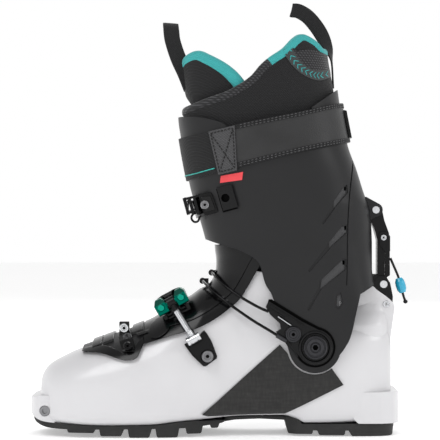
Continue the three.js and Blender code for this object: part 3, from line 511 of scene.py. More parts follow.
def paint_node(name, material, bevel):
    """A CAD node that keeps its own shape gets a material and softer edges."""
    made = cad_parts[name]
    made.data.materials.clear()
    made.data.materials.append(material)
    shade(made, SHARP)
    round_edges(made, bevel, SHARP)


# ---- Body surfaces, the same as the solids' ----

def follow(*keys):
    """A smooth value through (place, value) keys that never overshoots, and holds its ends."""
    places = [k[0] for k in keys]
    values = [k[1] for k in keys]
    rises = [(values[i + 1] - values[i]) / (places[i + 1] - places[i]) for i in range(len(keys) - 1)]
    slopes = [rises[0]]
    for a, b in zip(rises, rises[1:]):
        slopes.append(0.0 if a * b <= 0 else 2 * a * b / (a + b))
    slopes.append(rises[-1])

    def value(t):
        if t <= places[0]:
            return values[0]
        if t >= places[-1]:
            return values[-1]
        i = max(k for k in range(len(places)) if places[k] <= t)
        width = places[i + 1] - places[i]
        u = (t - places[i]) / width
        return (
            values[i] * (1 + 2 * u) * (1 - u) ** 2
            + slopes[i] * width * u * (1 - u) ** 2
            + values[i + 1] * u * u * (3 - 2 * u)
            + slopes[i + 1] * width * u * u * (u - 1)
        )

    return value


def super_point(angle, power):
    c, s = math.cos(angle), math.sin(angle)
    return math.copysign(abs(c) ** (2 / power), c), math.copysign(abs(s) ** (2 / power), s)


class Foot:
    bottom = follow((-142.4, 30), (-141.6, 22), (-139.6, 13.6), (-123.6, 10), (-91.6, 8.4), (-51.6, 8.8),
                    (-27.6, 11.2), (-11.6, 12.8), (20, 15.6), (56, 16), (66, 12.8), (73, 9.4), (144, 10.4))
    top = follow((-142.4, 40), (-141.6, 46), (-139.6, 50.8), (-134.8, 56.4), (-123.6, 62.8), (-114, 67.4),
                 (-107.6, 69.7), (-99.6, 72.6), (-83.6, 78.3), (-67.6, 83.9), (-51.6, 90.4), (-35.6, 100.5),
                 (-19.6, 109.2), (-9.2, 116), (12, 119), (30, 118), (60, 108), (90, 96), (105, 90), (144, 88))
    half = follow((-142.4, 6), (-141.6, 17), (-139.6, 24.5), (-135, 32.5), (-128, 39.5), (-118, 45.5),
                  (-107, 49.5), (-95, 52), (-80, 53.5), (-65, 54), (-50, 53.5), (-35, 52), (-19, 49.5),
                  (-5, 47), (12, 44), (30, 40.8), (60, 40), (90, 39.5), (105, 38), (120, 34.5), (132, 29.5),
                  (140, 23.5), (143.6, 17))
    power = follow((-60, 2.3), (-20, 2.5), (20, 3.2), (45, 5), (144, 5))
    stretch = follow((-142.4, -1), (-100, 0), (105, 0), (143.6, 1))
    widest = 0.42
    bottom_power = 6


class Ankle:
    levels = (45, 157)
    front = follow((45, -20), (90, -24), (100, -19), (115, -7), (120, -3), (125, 0.8), (130, 3.4), (133, 4.2),
                   (141, 4.6), (150, 3.6), (157, 3))
    rear = follow((45, 112), (90, 112), (100, 106), (115, 103), (157, 102))
    half = follow((45, 39), (100, 39.6), (125, 39.2), (157, 37.5))
    power = follow((45, 2.5), (157, 2.5))


class Cuff:
    levels = (48, 290)
    front = follow((48, -5), (130, -5), (150, -5.5), (160, -8), (172.8, -11.6), (190.4, -17.2),
                   (202.4, -20.4), (240, -27.5), (258, -30), (290, -31))
    rear = follow((48, 140), (75, 140), (100, 135), (120, 131), (136, 130), (166, 129.2), (186.4, 126.8),
                  (193.6, 123.6), (216, 116.4), (236, 109.2), (269, 102.8), (290, 100))
    half = follow((48, 45), (110, 45.2), (130, 45.6), (150, 46.5), (190, 49), (230, 51.5), (290, 52))
    power = follow((80, 7), (100, 4.8), (120, 3.7), (140, 3), (160, 2.6), (290, 2.5))


class Collar:
    front = follow((166, -5.6), (190, -13), (202, -16.4), (240, -23.4), (258, -26), (325, -27))
    rear = follow((166, 124.6), (186, 122.4), (193, 119.4), (216, 112.4), (236, 105.2), (262, 99.6),
                  (281, 97.6), (302, 93.6), (314, 91.6), (325, 85))
    half = follow((166, 43), (190, 45), (230, 47.4), (262, 47.8), (300, 45), (325, 42))
    power = follow((166, 2.5), (325, 2.5))


class Tongue:
    front = follow((198, -7), (240, -15.4), (258, -18.2), (267, -18.6), (277, -24), (290, -26), (304, -27.6),
                   (315, -27.6))
    rear = follow((198, 110), (240, 97), (258, 92), (315, 84))
    half = follow((198, 37.4), (240, 39.4), (315, 37))
    power = follow((198, 2.5), (315, 2.5))


def foot(grow, name="foot"):
    toe_places = [-142.4 + 18 * (i / 24) ** 2 for i in range(24)]
    middle_places = [-124.4 + i * 2.4 for i in range(105)]
    heel_places = [127.6 + 16 * math.sin(math.pi / 2 * i / 10) for i in range(1, 11)]
    rings = []
    for x in toe_places + middle_places + heel_places:
        low, high = Foot.bottom(x) - grow, Foot.top(x) + grow
        level = low + (high - low) * Foot.widest
        ring = []
        for angle in circle(RING_POINTS):
            c, s = super_point(angle, Foot.power(x) if math.sin(angle) > 0 else Foot.bottom_power)
            reach = high - level if s > 0 else level - low
            ring.append((x + Foot.stretch(x) * grow, c * (Foot.half(x) + grow), level + s * reach))
        rings.append(ring)
    return loft(name, rings)


def level_point(body, z, angle, grow=0.0):
    """The point of a body's outline at a height and an angle, 0 at the heel side and 180 at the toe side."""
    front, rear = body.front(z) - grow, body.rear(z) + grow
    c, s = super_point(angle, body.power(z))
    return ((front + rear) / 2 + c * (rear - front) / 2, s * (body.half(z) + grow), z)


def upright(body, grow, name="upright", step=2.2):
    low, high = body.levels
    count = round((high - low) / step)
    levels = [low + (high - low) * i / count for i in range(count + 1)]
    return loft(name, [[level_point(body, z, a, grow) for a in circle(RING_POINTS)] for z in levels])


def boot_body(grow, name="boot"):
    return join(foot(grow, name), upright(Ankle, grow))


def boot_skin(name, low, high, side, y0=-FAR, y1=FAR):
    """A layer over the boot between two offsets, inside a side outline."""
    return cut(share(boot_body(high, name), side_slab(side, y0, y1)), boot_body(low))


def cuff_skin(name, low, high, side, y0=-FAR, y1=FAR):
    return cut(share(upright(Cuff, high, name), side_slab(side, y0, y1)), upright(Cuff, low))


# ---- Lower shell ----

LEDGE = dict(toe=-149.2, heel=149.2, half=34.5, toe_top=31, heel_top=35.6, pin=(-136.8, 20.5))
LINK_HALF = 8.3
BRACKET_HALF = 12.3


def toe_ledge():
    half, front = LEDGE["half"], LEDGE["toe"]
    plan = outline((-112, -half), [(-136, -half), (-144, -31), (front, -18), (front, 0), (front, 18),
                                   (-144, 31), (-136, half)], (-112, half))
    side = outline((front, 18), [(-144, 14.4), (-136, 11.8), (-112, 9.4)], (-112, 33), (-141, 33),
                   (front, LEDGE["toe_top"]))
    return share(plan_slab(plan, 5, 40), side_slab(side, -FAR, FAR))


def heel_ledge():
    half, rear = LEDGE["half"], LEDGE["heel"]
    plan = outline((108, -half), [(134, -half), (144, -30), (rear, -20)],
                   [(rear, 20), (144, 30), (134, half)], (108, half))
    side = outline([(108, 33.4), (114, 35), (124, LEDGE["heel_top"])], (160, LEDGE["heel_top"]), (160, 10.2),
                   (116, 10.2), (112, 14), (108, 33.4))
    return share(plan_slab(plan, 5, 40), side_slab(side, -FAR, FAR))


def heel_tower():
    flanks = outline((96, 70), [(100, 100), (112, 106), (118, 116), (127, 121), (133, 117), (143, 109.5),
                                (146.2, 104), (145.6, 96)], (142, 70))
    return cut(
        join(side_slab(flanks, -19, 19), tower_flare()),
        block(117, 160, -BRACKET_HALF - GAP, BRACKET_HALF + GAP, 107, 140),
        block(122, 160, -LINK_HALF - 0.6, LINK_HALF + 0.6, 98, 140),
    )


def tower_flare():
    """The heel's shoulders, which narrow up into the tower in a soft slope."""
    half = follow((74, 26), (82, 30), (88, 29.6), (95, 26), (101, 21.6), (107, 18.8))
    front = follow((74, 86), (90, 95), (100, 102), (107, 114))
    rear = follow((74, 140), (84, 143), (107, 143.4))
    rings = []
    for z in range(74, 108):
        points = [super_point(a, 3) for a in circle(RING_POINTS)]
        middle, reach = (front(z) + rear(z)) / 2, (rear(z) - front(z)) / 2
        rings.append([(middle + c * reach, t * half(z), z) for c, t in points])
    return loft("tower_flare", rings)


def lower_shell():
    rim = [(-60, 190), (-60, 150), (0, 137), (30, 134), (70, 127), (96, 112), (112, 108), (112, 190)]
    shell = cut(join(boot_body(0, "shell_body"), toe_ledge(), heel_ledge()), side_slab(rim, -FAR, FAR))
    shell = join(shell, heel_tower())
    cut(
        shell,
        boot_body(-SHELL_WALL),
        block(-100, 40, -13, 13, 60, 180),
        across(*LEDGE["pin"], 4.3, -FAR, FAR),
        across(*PIVOT, 5.3, -FAR, FAR),
        block(145, 155, -12, 12, 12, 34),
    )
    dress(shell, WHITE, "shell_white", "shell", ["lower_shell"])
    for side, word in SIDES:
        socket_screw("tower_rivet_" + word, (139.8, side * 18.6, 106), (0, side, 0), 2.9, 1.3, STEEL, "shell")


lower_shell()


def side_panels():
    panel = outline((-10, 18.4), (52.4, 74.4), *ring_of(PIVOT, 22.4, 194, 308), (103.6, 42), (56.4, 18.6),
                    [(56.4, 18.6), (30, 18), (-5.2, 17)])
    for side, word in SIDES:
        made = boot_skin("stiffener_" + word, GAP, 1.4, panel, *((-FAR, -20) if side < 0 else (20, FAR)))
        dress(made, CARBON, "carbon", "shell", ["side_panel_" + word])


side_panels()


def mirrored(half):
    """Half a plan's edge, carried on to its other side; its last point lies on the middle line."""
    return half + [(x, -y) for x, y in reversed(half[:-1])]


TOE_EDGE = [(-6, -34), (-35, -42), (-70, -44), (-105, -42), (-130, -34), (-144, -22), (-148.5, 0)]
HEEL_EDGE = [(66, -31), (100, -33), (130, -32), (143, -24), (147, 0)]
SOLE_FRONT = [(14, -26), mirrored(TOE_EDGE), (14, 26)]
SOLE_HEEL = [(54, -22), mirrored(HEEL_EDGE), (54, 22)]
FRONT_LUGS = [(-119, -95.6, 3.6), (-92.4, -73.6, 1.2), (-69.4, -51.2, 0), (-47.2, -28.6, 0),
              (-23.4, -9.6, 2.6), (-4, 4, 6.6)]
HEEL_LUGS = [(58.4, 80, 1.6), (83.2, 106, 0.8), (109.4, 145.6, 0)]


def lug(x0, x1, low):
    """A rubber block whose ends lean in towards the ground."""
    return side_slab([(x0 - 1.4, 14), (x0 + 0.9, low + 0.8), (x0 + 1.8, low), (x1 - 1.8, low),
                      (x1 - 0.9, low + 0.8), (x1 + 1.4, 14)], -FAR, FAR)


def tread(name, base, lugs, plan, grooves, above, replaced):
    """A rubber base with a row of blocks, inside its plan, cut by grooves along and across."""
    made = side_slab(base, -FAR, FAR, name)
    for x0, x1, low in lugs:
        made = join(made, lug(x0, x1, low))
    share(made, plan_slab(outline(*plan), -5, 30))
    for groove in grooves:
        cut(made, groove)
    for x0, x1, low in lugs:
        middle = (x0 + x1) / 2
        for side in (MEDIAL, LATERAL):
            cut(made, side_slab([(middle - 1.2, low - 1), (middle - 0.5, low + 1.6),
                                 (middle + 0.5, low + 1.6), (middle + 1.2, low - 1)], *span(side, 9, 26)))
    for body in above:
        cut(made, body)
    return dress(made, RUBBER, "rubber", "shell", replaced, 30, 0.35)


def soles():
    toe = outline((-150, 17.4), [(-150, 15.6), (-146, 11), (-136, 7.2), (-121, 6.2)], (-20, 7.2), (6, 10.4),
                  (14, 14.4), (14, 15.2), (-140, 17.4))
    centre = plan_slab([(-122, -4), (-60, -6), (0, -4), (0, 4), (-60, 6), (-122, 4)], -2, 6.2)
    tread("front_tread_rubber", toe, FRONT_LUGS, SOLE_FRONT, [centre],
          [foot(0.6), toe_ledge(), block(-152, -112, -36, 36, 17.7, 30), block(-118, 16, -36, 36, 12.6, 30)],
          ["sole_front"])
    heel = outline((58, 8), [(58, 7), (66, 5), (76, 4.5)], (142, 4.5),
                   [(142, 4.5), (146.4, 6.4), (147.5, 9.9)], (58, 15.5))
    tread("heel_tread_rubber", heel, HEEL_LUGS, SOLE_HEEL, [block(84, 120, -5, 5, -2, 3)],
          [block(70, 150, -FAR, FAR, 9.9, 30), foot(GAP)], ["sole_heel"])


soles()


def arch():
    band = [(8, 11), (16.5, 12.4), (36, 13.2), (57.5, 12.2), (60, 10), (60, 14), (57.5, 15), (36, 15.4),
            (16.5, 14.8), (8, 14.8)]
    made = cut(side_slab(band, -24, 24, "arch_band"), boot_body(GAP))
    dress(made, RUBBER, "rubber", "shell", ["arch_plate"], 30, 0.3)


arch()


def gaiter():
    lower = [(-107.6, 68.2), (-97.2, 68.3), (-86, 67.2), (-77.2, 64.4), (-69.2, 62.7), (-63.6, 63.8),
             (-60.4, 67.2), (-57.2, 74.4)]
    made = boot_skin("toe_gaiter", GAP, 2.3, outline(lower, (-57.2, 100), (-107.6, 100)))
    fold(made, 0.9, 45)
    dress(made, GAITER, "cuff_black", "shell", ["forefoot_gaiter"], 50)
    lip = [(-107.2, 68.4), (-97, 68.2), (-88.6, 67.2), (-76.3, 63.7), (-67.9, 62.6), (-61.7, 64.8),
           (-58.9, 71), (-56.6, 76)]
    lip_top = [(-57.4, 81), (-61.7, 76), (-63.9, 71.4), (-69, 68.7), (-71.8, 67), (-80.8, 71.4),
               (-88.6, 73.6), (-98, 72.6), (-105.5, 70.6)]
    made = boot_skin("gaiter_lip", 2.0, 3.5, outline(lip, lip_top))
    dress(made, SATIN, "cuff_black", "shell", (), 40)
    for index, (x0, x1) in enumerate(((-98.5, -91), (-89.5, -81), (-66, -57.5))):
        tilt = 1.5
        bridge = [(x0, 60), (x0 - tilt, 100), (x1 - tilt, 100), (x1, 60)]
        made = boot_skin("toe_bridge_%d" % index, 2.1, 4.2, bridge, -30, 30)
        dress(made, SATIN, "cuff_black", "shell", (), 40, 0.5)


def fold(made, depth, scale):
    """Soft creases: each point moves along its normal by a slow noise."""
    mesh = made.data
    normals = [v.normal.copy() for v in mesh.vertices]
    for vertex, normal in zip(mesh.vertices, normals):
        vertex.co += normal * (noise(vertex.co * scale) * depth * MM)


gaiter()

INSTEP_EDGE = [(-56.8, 75), (-47.8, 77.8), (-36.6, 81.3), (-23.1, 85.2), (-11.9, 88.6), (1.5, 95.8),
               (12.8, 104.2), (20.4, 111), (27.2, 121.6), (33, 132), (38, 141), (42, 154)]


def instep_tongue():
    made = boot_skin("instep_tongue", GAP, 3.3, outline(INSTEP_EDGE, (-30, 154), (-56.8, 120)))
    dress(made, SATIN, "cuff_black", "shell", ["tongue"])
    flap = smooth_points([(-53, 83), (-51.6, 90), (-46, 95.4), (-39, 97), (-35.4, 92), (-38, 85.6), (-44, 81),
                          (-50, 80), (-53, 83)])
    dress(boot_skin("instep_flap", 3.35, 4.6, flap), SATIN, "cuff_black", "shell")
    inner_edge = [(x - 5 - 0.02 * (z - 75), z + 6.5) for x, z in INSTEP_EDGE]
    inner = smooth_points(inner_edge)
    welt = inner + [(x - 1.8, z + 1.6) for x, z in reversed(inner)]
    ridge = boot_skin("tongue_welt", 3.25, 4.1, welt)
    dress(ridge, SATIN, "cuff_black", "shell")


instep_tongue()


# ---- Cuff ----

CUFF_SIDE = outline(
    (-60, 262), [(-30, 258.4), (-11.6, 256.8), (6, 252), (12, 246)], (40, 248), (78, 258), (78, 264.8),
    (100.4, 280.8), (130, 281), (130, 200), (140, 160), (140, 121.6), (129.2, 121.6), (117.2, 114.8),
    [(117.2, 114.8), (114, 101.6), (109.2, 81.6), (104.4, 72), (99.6, 65.6)],
    *ring_of(PIVOT, 21, -20, -163), (48.4, 108), (45.2, 116),
    [(45.2, 116), (40.4, 124), (34.8, 140.8), (21, 149.6), (8, 153.5), (-6.8, 158.4)], (-60, 160),
)
WINDOWS = [
    [(95.4, 183.8), (95.7, 189.8), (103.5, 200.3), (105.8, 201.5), (105.8, 195.9)],
    [(91.8, 152), (91.8, 156.7), (102, 168.9), (105.8, 169.8), (105.8, 164.6)],
    [(84.6, 119.2), (85.6, 126.6), (101.8, 141.9), (104.4, 141.9), (104.4, 134.9)],
    [(97.6, 105.5), (98.2, 113.6), (100.8, 114.8), (101.8, 108.6), (99.8, 104.8)],
]
GROOVES = [((95.6, 184), (86.6, 171.2)), ((92, 152.2), (75.6, 133.2)), ((84.8, 119.4), (75, 102))]
LINK_TOP = (131.9, 182.7)


def link_lug():
    side = outline((118, 193), (124, 193.4), *ring_of(LINK_TOP, 5.6, 60, -90), (124, 172), (118, 172))
    return cut(side_slab(side, -12.4, 12.4), upright(Cuff, -CUFF_WALL))


def window_point(window, index, grow):
    """A corner of a window, moved away from the window's middle."""
    x, z = window[index]
    cx, cz = sum(p[0] for p in window) / len(window), sum(p[1] for p in window) / len(window)
    far = math.hypot(x - cx, z - cz)
    return (x + (x - cx) / far * grow, z + (z - cz) / far * grow)


def groove_cutter(start, end):
    """A tapering wedge in side view, for a shallow groove that trails off from a window."""
    (x0, z0), (x1, z1) = start, end
    return [(x0 - 0.4, z0 + 3), (x1 - 0.6, z1 + 0.8), (x1 + 0.6, z1 - 0.2), (x0 + 0.8, z0 - 0.4)]


def cuff():
    made = cut(share(upright(Cuff, 0, "cuff_body"), side_slab(CUFF_SIDE, -FAR, FAR)),
               upright(Cuff, -CUFF_WALL))
    rear_bay = [(-13, 173), (-13, 156), (-22, 134), (-22, 90), (22, 90), (22, 134), (13, 156), (13, 173)]
    cut(made, prism("rear_bay", rear_bay, lambda y, z, end: ((100, 160)[end], y, z)))
    for window in WINDOWS:
        cut(made, side_slab(window, -FAR, FAR))
    cut(
        join(made, link_lug()),
        block(124.6, 160, -LINK_HALF - 0.5, LINK_HALF + 0.5, 150, 191),
        block(-60, 30, 24, 25, 120, 300),
        across(*PIVOT, 5.3, -FAR, FAR),
        across(*LINK_TOP, 2.7, -FAR, FAR),
    )
    for groove in GROOVES:
        cut(made, cut(side_slab(groove_cutter(*groove), -FAR, FAR), upright(Cuff, -0.9)))
    crease = smooth_points([(112.6, 224), (109.6, 205), (107.4, 186), (106.4, 166), (106, 140), (105.4, 122)])
    cut(made, cut(side_slab(crease + [(x + 0.9, z) for x, z in reversed(crease)], -FAR, FAR),
                  upright(Cuff, -0.7)))
    for window in WINDOWS:
        frame_line = [window_point(window, i, 1.6) for i in range(len(window))]
        step = cut(side_slab(frame_line, -FAR, FAR), upright(Cuff, -0.6))
        cut(made, step)
    return dress(made, BLACK, "cuff_black", "cuff", ["cuff"])


def window_mesh():
    """The mesh behind the cuff's windows, with an open slot at each window's upper corner."""
    for side, word in SIDES:
        stretch = span(side, 10, FAR)
        panes = []
        for window in WINDOWS:
            pane = side_slab([window_point(window, i, 0.5) for i in range(len(window))], *stretch)
            x, z = window[-2]
            cut(pane, side_slab([(x - 1.8, z - 3.4), (x - 1.8, z + 0.4), (x, z + 0.8), (x, z - 3.4)],
                                *stretch))
            panes.append(pane)
        made = cut(share(upright(Cuff, -1.1, "window_mesh_" + word), join(*panes)), upright(Cuff, -2.2))
        dress(made, WINDOW_MESH, "cuff_black", "cuff", ["window_backing_" + word])


cuff()
window_mesh()


# ---- Power strap ----

BAND_TOP = [(-40, 239), (-5.2, 244.8), (20.4, 251.2), (68.4, 260.8), (102.8, 269.2), (120, 272)]
BAND_BOTTOM = [(-40, 204.6), (-20, 207), (-2, 211.4), (20.4, 216.8), (68.4, 228.8), (108.4, 237.6),
               (120, 241)]
band_top = follow(*BAND_TOP)
band_bottom = follow(*BAND_BOTTOM)


def band_line(share_up, x):
    return band_bottom(x) + (band_top(x) - band_bottom(x)) * share_up


def strip(low, high, x0, x1, steps=40):
    """The part of the band between two shares of its width and two places along X."""
    xs = [x0 + (x1 - x0) * i / steps for i in range(steps + 1)]
    return [(x, band_line(low, x)) for x in xs] + [(x, band_line(high, x)) for x in reversed(xs)]


def strap():
    band = cuff_skin("strap_band_leather", 0.4, 2.4, strip(0, 1, 8.3, 120))
    dress(band, LEATHER, "webbing", "cuff", ["strap_band"])
    for low, high, word in ((0.0, 0.11, "lower"), (0.89, 1.0, "upper")):
        edge = cuff_skin("strap_hem_" + word, 2.35, 3.1, strip(low, high, 8.3, 120))
        dress(edge, WEBBING, "webbing", "cuff", (), 32, 0.3)
    front = cuff_skin("strap_webbing_front", 0.4, 2.2, strip(0, 1, -50, 8))
    dress(front, WEBBING, "webbing", "cuff", ["strap_webbing"])
    line = cuff_skin("strap_teal_line", 2.15, 2.6, strip(0.1, 0.125, -50, 0))
    dress(line, TEAL_LINE, "teal", "cuff")
    for side, word in SIDES:
        patch_shape = [(-5, 245), (16, 249.6), (18, 214), (3, 210.6)]
        patch = cuff_skin("strap_box_" + word, 2.7, 3.7, patch_shape,
                          *((-FAR, -10) if side < 0 else (10, FAR)))
        dress(patch, GREY_WEB, "webbing", "cuff", ["strap_patch_" + word])


strap()


def cuff_surface(x, z, side, grow):
    """The point over the cuff at a place in side view."""
    front, rear = Cuff.front(z) - grow, Cuff.rear(z) + grow
    middle, reach = (front + rear) / 2, (rear - front) / 2
    share_x = min(0.999, abs((x - middle) / reach))
    power = Cuff.power(z)
    return (x, side * (Cuff.half(z) + grow) * (1 - share_x**power) ** (1 / power), z)


def stitches(name, points, length=2.2, pause=1.3, radius=0.28, material=None):
    """Separate thread stitches along a line of 3-D points, joined into one piece."""
    line = [Vector(p) for p in points]
    gaps = [(b - a).length for a, b in zip(line, line[1:])]
    total = sum(gaps)

    def at(distance):
        for a, b, gap in zip(line, line[1:], gaps):
            if distance <= gap:
                return a.lerp(b, distance / gap if gap else 0)
            distance -= gap
        return line[-1]

    sides = 6
    profile = ((0.0, 0.35), (0.25, 1.0), (0.75, 1.0), (1.0, 0.35))  # share of the stitch, share of its radius
    vertices, faces = [], []
    start = 0.0
    while start + length < total:
        a, b = at(start), at(start + length)
        along = (b - a).normalized()
        side = along.orthogonal().normalized()
        other = along.cross(side)
        base = len(vertices)
        for end, swell in profile:
            centre = a.lerp(b, end)
            for t in circle(sides):
                vertices.append(tuple(centre + (side * math.cos(t) + other * math.sin(t)) * radius * swell))
        for ring in range(base, len(vertices) - sides, sides):
            for i in range(sides):
                j = (i + 1) % sides
                faces.append((ring + i, ring + j, ring + sides + j, ring + sides + i))
        faces.append(tuple(base + i for i in reversed(range(sides))))
        faces.append(tuple(len(vertices) - sides + i for i in range(sides)))
        start += length + pause
    made = outward(mesh_object(name, vertices, faces))
    dress(made, material or THREAD, "webbing", "cuff")
    return made


def strap_stitching():
    for side, word in SIDES:
        for share_up, row in ((0.03, "low_edge"), (0.085, "low"), (0.915, "high"), (0.97, "high_edge")):
            points = [cuff_surface(x, band_line(share_up, x), side, 3.15) for x in range(20, 108, 2)]
            stitches("strap_stitch_%s_%s" % (word, row), points, 1.8, 1.4, 0.42)
        corners = [(-3.2, 243.4), (14.6, 247.4), (16.2, 215.6), (4.2, 212.6)]
        paths = [corners + corners[:1], [corners[0], corners[2]], [corners[1], corners[3]]]
        for index, path in enumerate(paths):
            fine = [
                cuff_surface(x0 + (x1 - x0) * k / 8, z0 + (z1 - z0) * k / 8, side, 3.8)
                for (x0, z0), (x1, z1) in zip(path, path[1:])
                for k in range(9)
            ]
            stitches("box_stitch_%s_%d" % (word, index), fine, 2.2, 0.7, 0.6, DARK_THREAD)


strap_stitching()


# ---- Liner ----

RIM = follow((-27, 266), (-20, 268), (-8, 272), (8, 277), (20, 283), (32, 291), (40, 299), (48, 305),
             (60, 312), (72, 321), (80, 324), (86, 321), (92, 314))
TEAL_FROM = 47  # where the rim's binding turns teal, along X


def rim_height(angle):
    """The top of the collar's wall at an angle, and how far round it is along X."""
    x_rim = level_point(Collar, 290, angle)[0]
    return RIM(x_rim) - LINER_WALL / 2, x_rim


def collar():
    """The padded collar: up the outside, over a rounded rim and down the inside, with a sewn binding."""
    columns, rows, turn, bottom = 150, 44, 8, 166.5
    grid = []
    for angle in circle(columns):
        top = rim_height(angle)[0]
        levels = [bottom + (top - bottom) * r / (rows - 1) for r in range(rows)]
        column = [level_point(Collar, z, angle, -0.6 * math.exp(-(((top - z - 4.4) / 1.4) ** 2)))
                  for z in levels]
        for t in range(1, turn):
            lean = math.pi * t / turn
            grow = -LINER_WALL / 2 * (1 - math.cos(lean))
            over = top + LINER_WALL / 2 * math.sin(lean)
            column.append(level_point(Collar, top, angle, grow)[:2] + (over,))
        column += [level_point(Collar, z, angle, -LINER_WALL) for z in reversed(levels)]
        grid.append(column)
    made = closed_grid("liner_collar", grid)
    dress(made, LINER, "foam", "cuff", ["liner_cuff"], 80)
    made.data.materials.append(LINER_SMOOTH)
    height = len(grid[0])
    for face in made.data.polygons:
        face.material_index = 1 if face.index % height >= rows + turn - 3 else 0
    turn_at = next(a for a in (math.radians(k) for k in range(180)) if rim_height(a)[1] < TEAL_FROM)
    for name, first, last, material, slot in (
        ("collar_binding", turn_at, 2 * math.pi - turn_at, BINDING, "foam"),
        ("collar_rear_binding", -turn_at, turn_at, TEAL, "teal"),
    ):
        line, broad = [], []
        for k in range(121):
            angle = first + (last - first) * k / 120
            top = rim_height(angle)[0] + 0.2
            outer, inner = (Vector(level_point(Collar, top, angle, g)) for g in (0, -LINER_WALL))
            line.append((outer + inner) / 2)
            broad.append(outer - inner)
        roll = sweep(name, line, broad, 4.3, 3.9, 2.6)
        dress(roll, material, slot, "cuff", (), 60)


def closed_grid(name, grid):
    """A closed ring of columns, each a closed loop of points."""
    height = len(grid[0])
    vertices = [p for column in grid for p in column]
    faces = []
    for i in range(len(grid)):
        j = (i + 1) % len(grid)
        for k in range(height):
            m = (k + 1) % height
            faces.append((i * height + k, j * height + k, j * height + m, i * height + m))
    return outward(mesh_object(name, vertices, faces))


collar()


def collar_skin(name, low, high, side):
    return cut(share(upright(CollarSide, high, name), side_slab(side, -FAR, FAR)), upright(CollarSide, low))


class CollarSide(Collar):
    levels = (280, 325)


def collar_patches():
    """A knitted horseshoe with chevrons, behind the ankle, and the smooth field that it frames."""
    outer = [(54.8, 310.4), (60.4, 300.8), (68.4, 292.8), (78, 288), (86, 287.2), (95, 291.2)]
    inner = [(61.2, 314.6), (66.8, 304.8), (73.2, 298.4), (79.6, 295.2), (86, 295.2), (95, 297.6)]
    band = collar_skin("knit_horseshoe", -0.3, 0.5, smooth_points(outer) + smooth_points(inner)[::-1])
    dress(band, GREY_KNIT, "foam", "cuff")
    field = collar_skin("knit_field", -0.3, 0.35, smooth_points(inner) + [(95, 309), (76, 312), (66, 310)])
    dress(field, BINDING, "foam", "cuff")
    lines = [smooth_points(outer, 12), smooth_points(inner, 12)]
    marks = []
    for k in range(5, 56, 5):
        (x0, z0), (x1, z1) = lines[0][k], lines[1][k]
        x2, z2 = lines[0][k + 2]
        middle = ((x0 + x1) / 2 - (x2 - x0) * 1.3, (z0 + z1) / 2 - (z2 - z0) * 1.3)
        inset = 0.18
        a = (x0 + (x1 - x0) * inset, z0 + (z1 - z0) * inset)
        b = (x1 + (x0 - x1) * inset, z1 + (z0 - z1) * inset)
        thick = ((x2 - x0) * 0.45, (z2 - z0) * 0.45)
        shape = [a, middle, b, (b[0] + thick[0], b[1] + thick[1]),
                 (middle[0] + thick[0], middle[1] + thick[1]), (a[0] + thick[0], a[1] + thick[1])]
        marks.append(side_slab(shape, -FAR, FAR))
    made = cut(share(upright(CollarSide, 0.75, "knit_chevrons"), join(*marks)), upright(CollarSide, 0.3))
    dress(made, TEAL, "teal", "cuff")


collar_patches()

TONGUE_TOP = follow((-28, 303), (-26.5, 306), (-23.6, 309.4), (-15.6, 312), (-7.6, 308.8), (4.4, 302.4),
                    (14, 294.4), (19.6, 286.4), (25, 279))


def tongue_edge(off):
    """The angle, top and thickness of the tongue's wall, from one side (-1) to the other (1)."""
    angle = math.pi + off * math.radians(86)
    top = TONGUE_TOP(level_point(Tongue, 295, angle)[0]) - 4.4
    return angle, top, 8 * max(0.45, 1 - abs(off) ** 8)


def liner_tongue():
    """A padded half tube that leans out over the collar's front rim, bound in teal."""
    columns, rows, bottom = 90, 50, 200
    grid = []
    for i in range(columns + 1):
        angle, top, thick = tongue_edge(-1 + 2 * i / columns)
        levels = [bottom + (top - bottom) * r / (rows - 1) for r in range(rows)]
        grid.append([level_point(Tongue, z, angle, 0) for z in levels]
                    + [level_point(Tongue, z, angle, -thick) for z in reversed(levels)])
    height = len(grid[0])
    vertices = [p for column in grid for p in column]
    faces = [tuple(range(height)), tuple(len(vertices) - 1 - k for k in range(height))]
    for i in range(columns):
        for k in range(height):
            m = (k + 1) % height
            faces.append((i * height + k, (i + 1) * height + k, (i + 1) * height + m, i * height + m))
    made = outward(mesh_object("liner_tongue_pad", vertices, faces))
    dress(made, LINER, "foam", "cuff", ["liner_tongue"], 80)
    made.data.materials.append(TEAL)
    for face in made.data.polygons:
        k = (face.index - 2) % height
        if face.index > 1 and k >= rows - 1:
            face.material_index = 1
    line, broad = [], []
    for k in range(81):
        angle, top, thick = tongue_edge(-1 + k / 40)
        outer, inner = (Vector(level_point(Tongue, top - 0.9, angle, g)) for g in (0.4, -thick - 0.4))
        line.append((outer + inner) / 2)
        broad.append(outer - inner)
    roll = sweep("tongue_binding", line, broad, 4.7, 5.2, 2.4)
    dress(roll, TEAL, "teal", "cuff", (), 60)


liner_tongue()


def ribbon(name, path, widths, half_width, thick, material, replaced):
    """A flat band along a smooth path; widths gives its broad direction at the same points."""
    made = sweep(name, smooth_points(path, 10), smooth_points(widths, 10), half_width, thick / 2, 6)
    dress(made, material, "webbing", "cuff", replaced, 45)


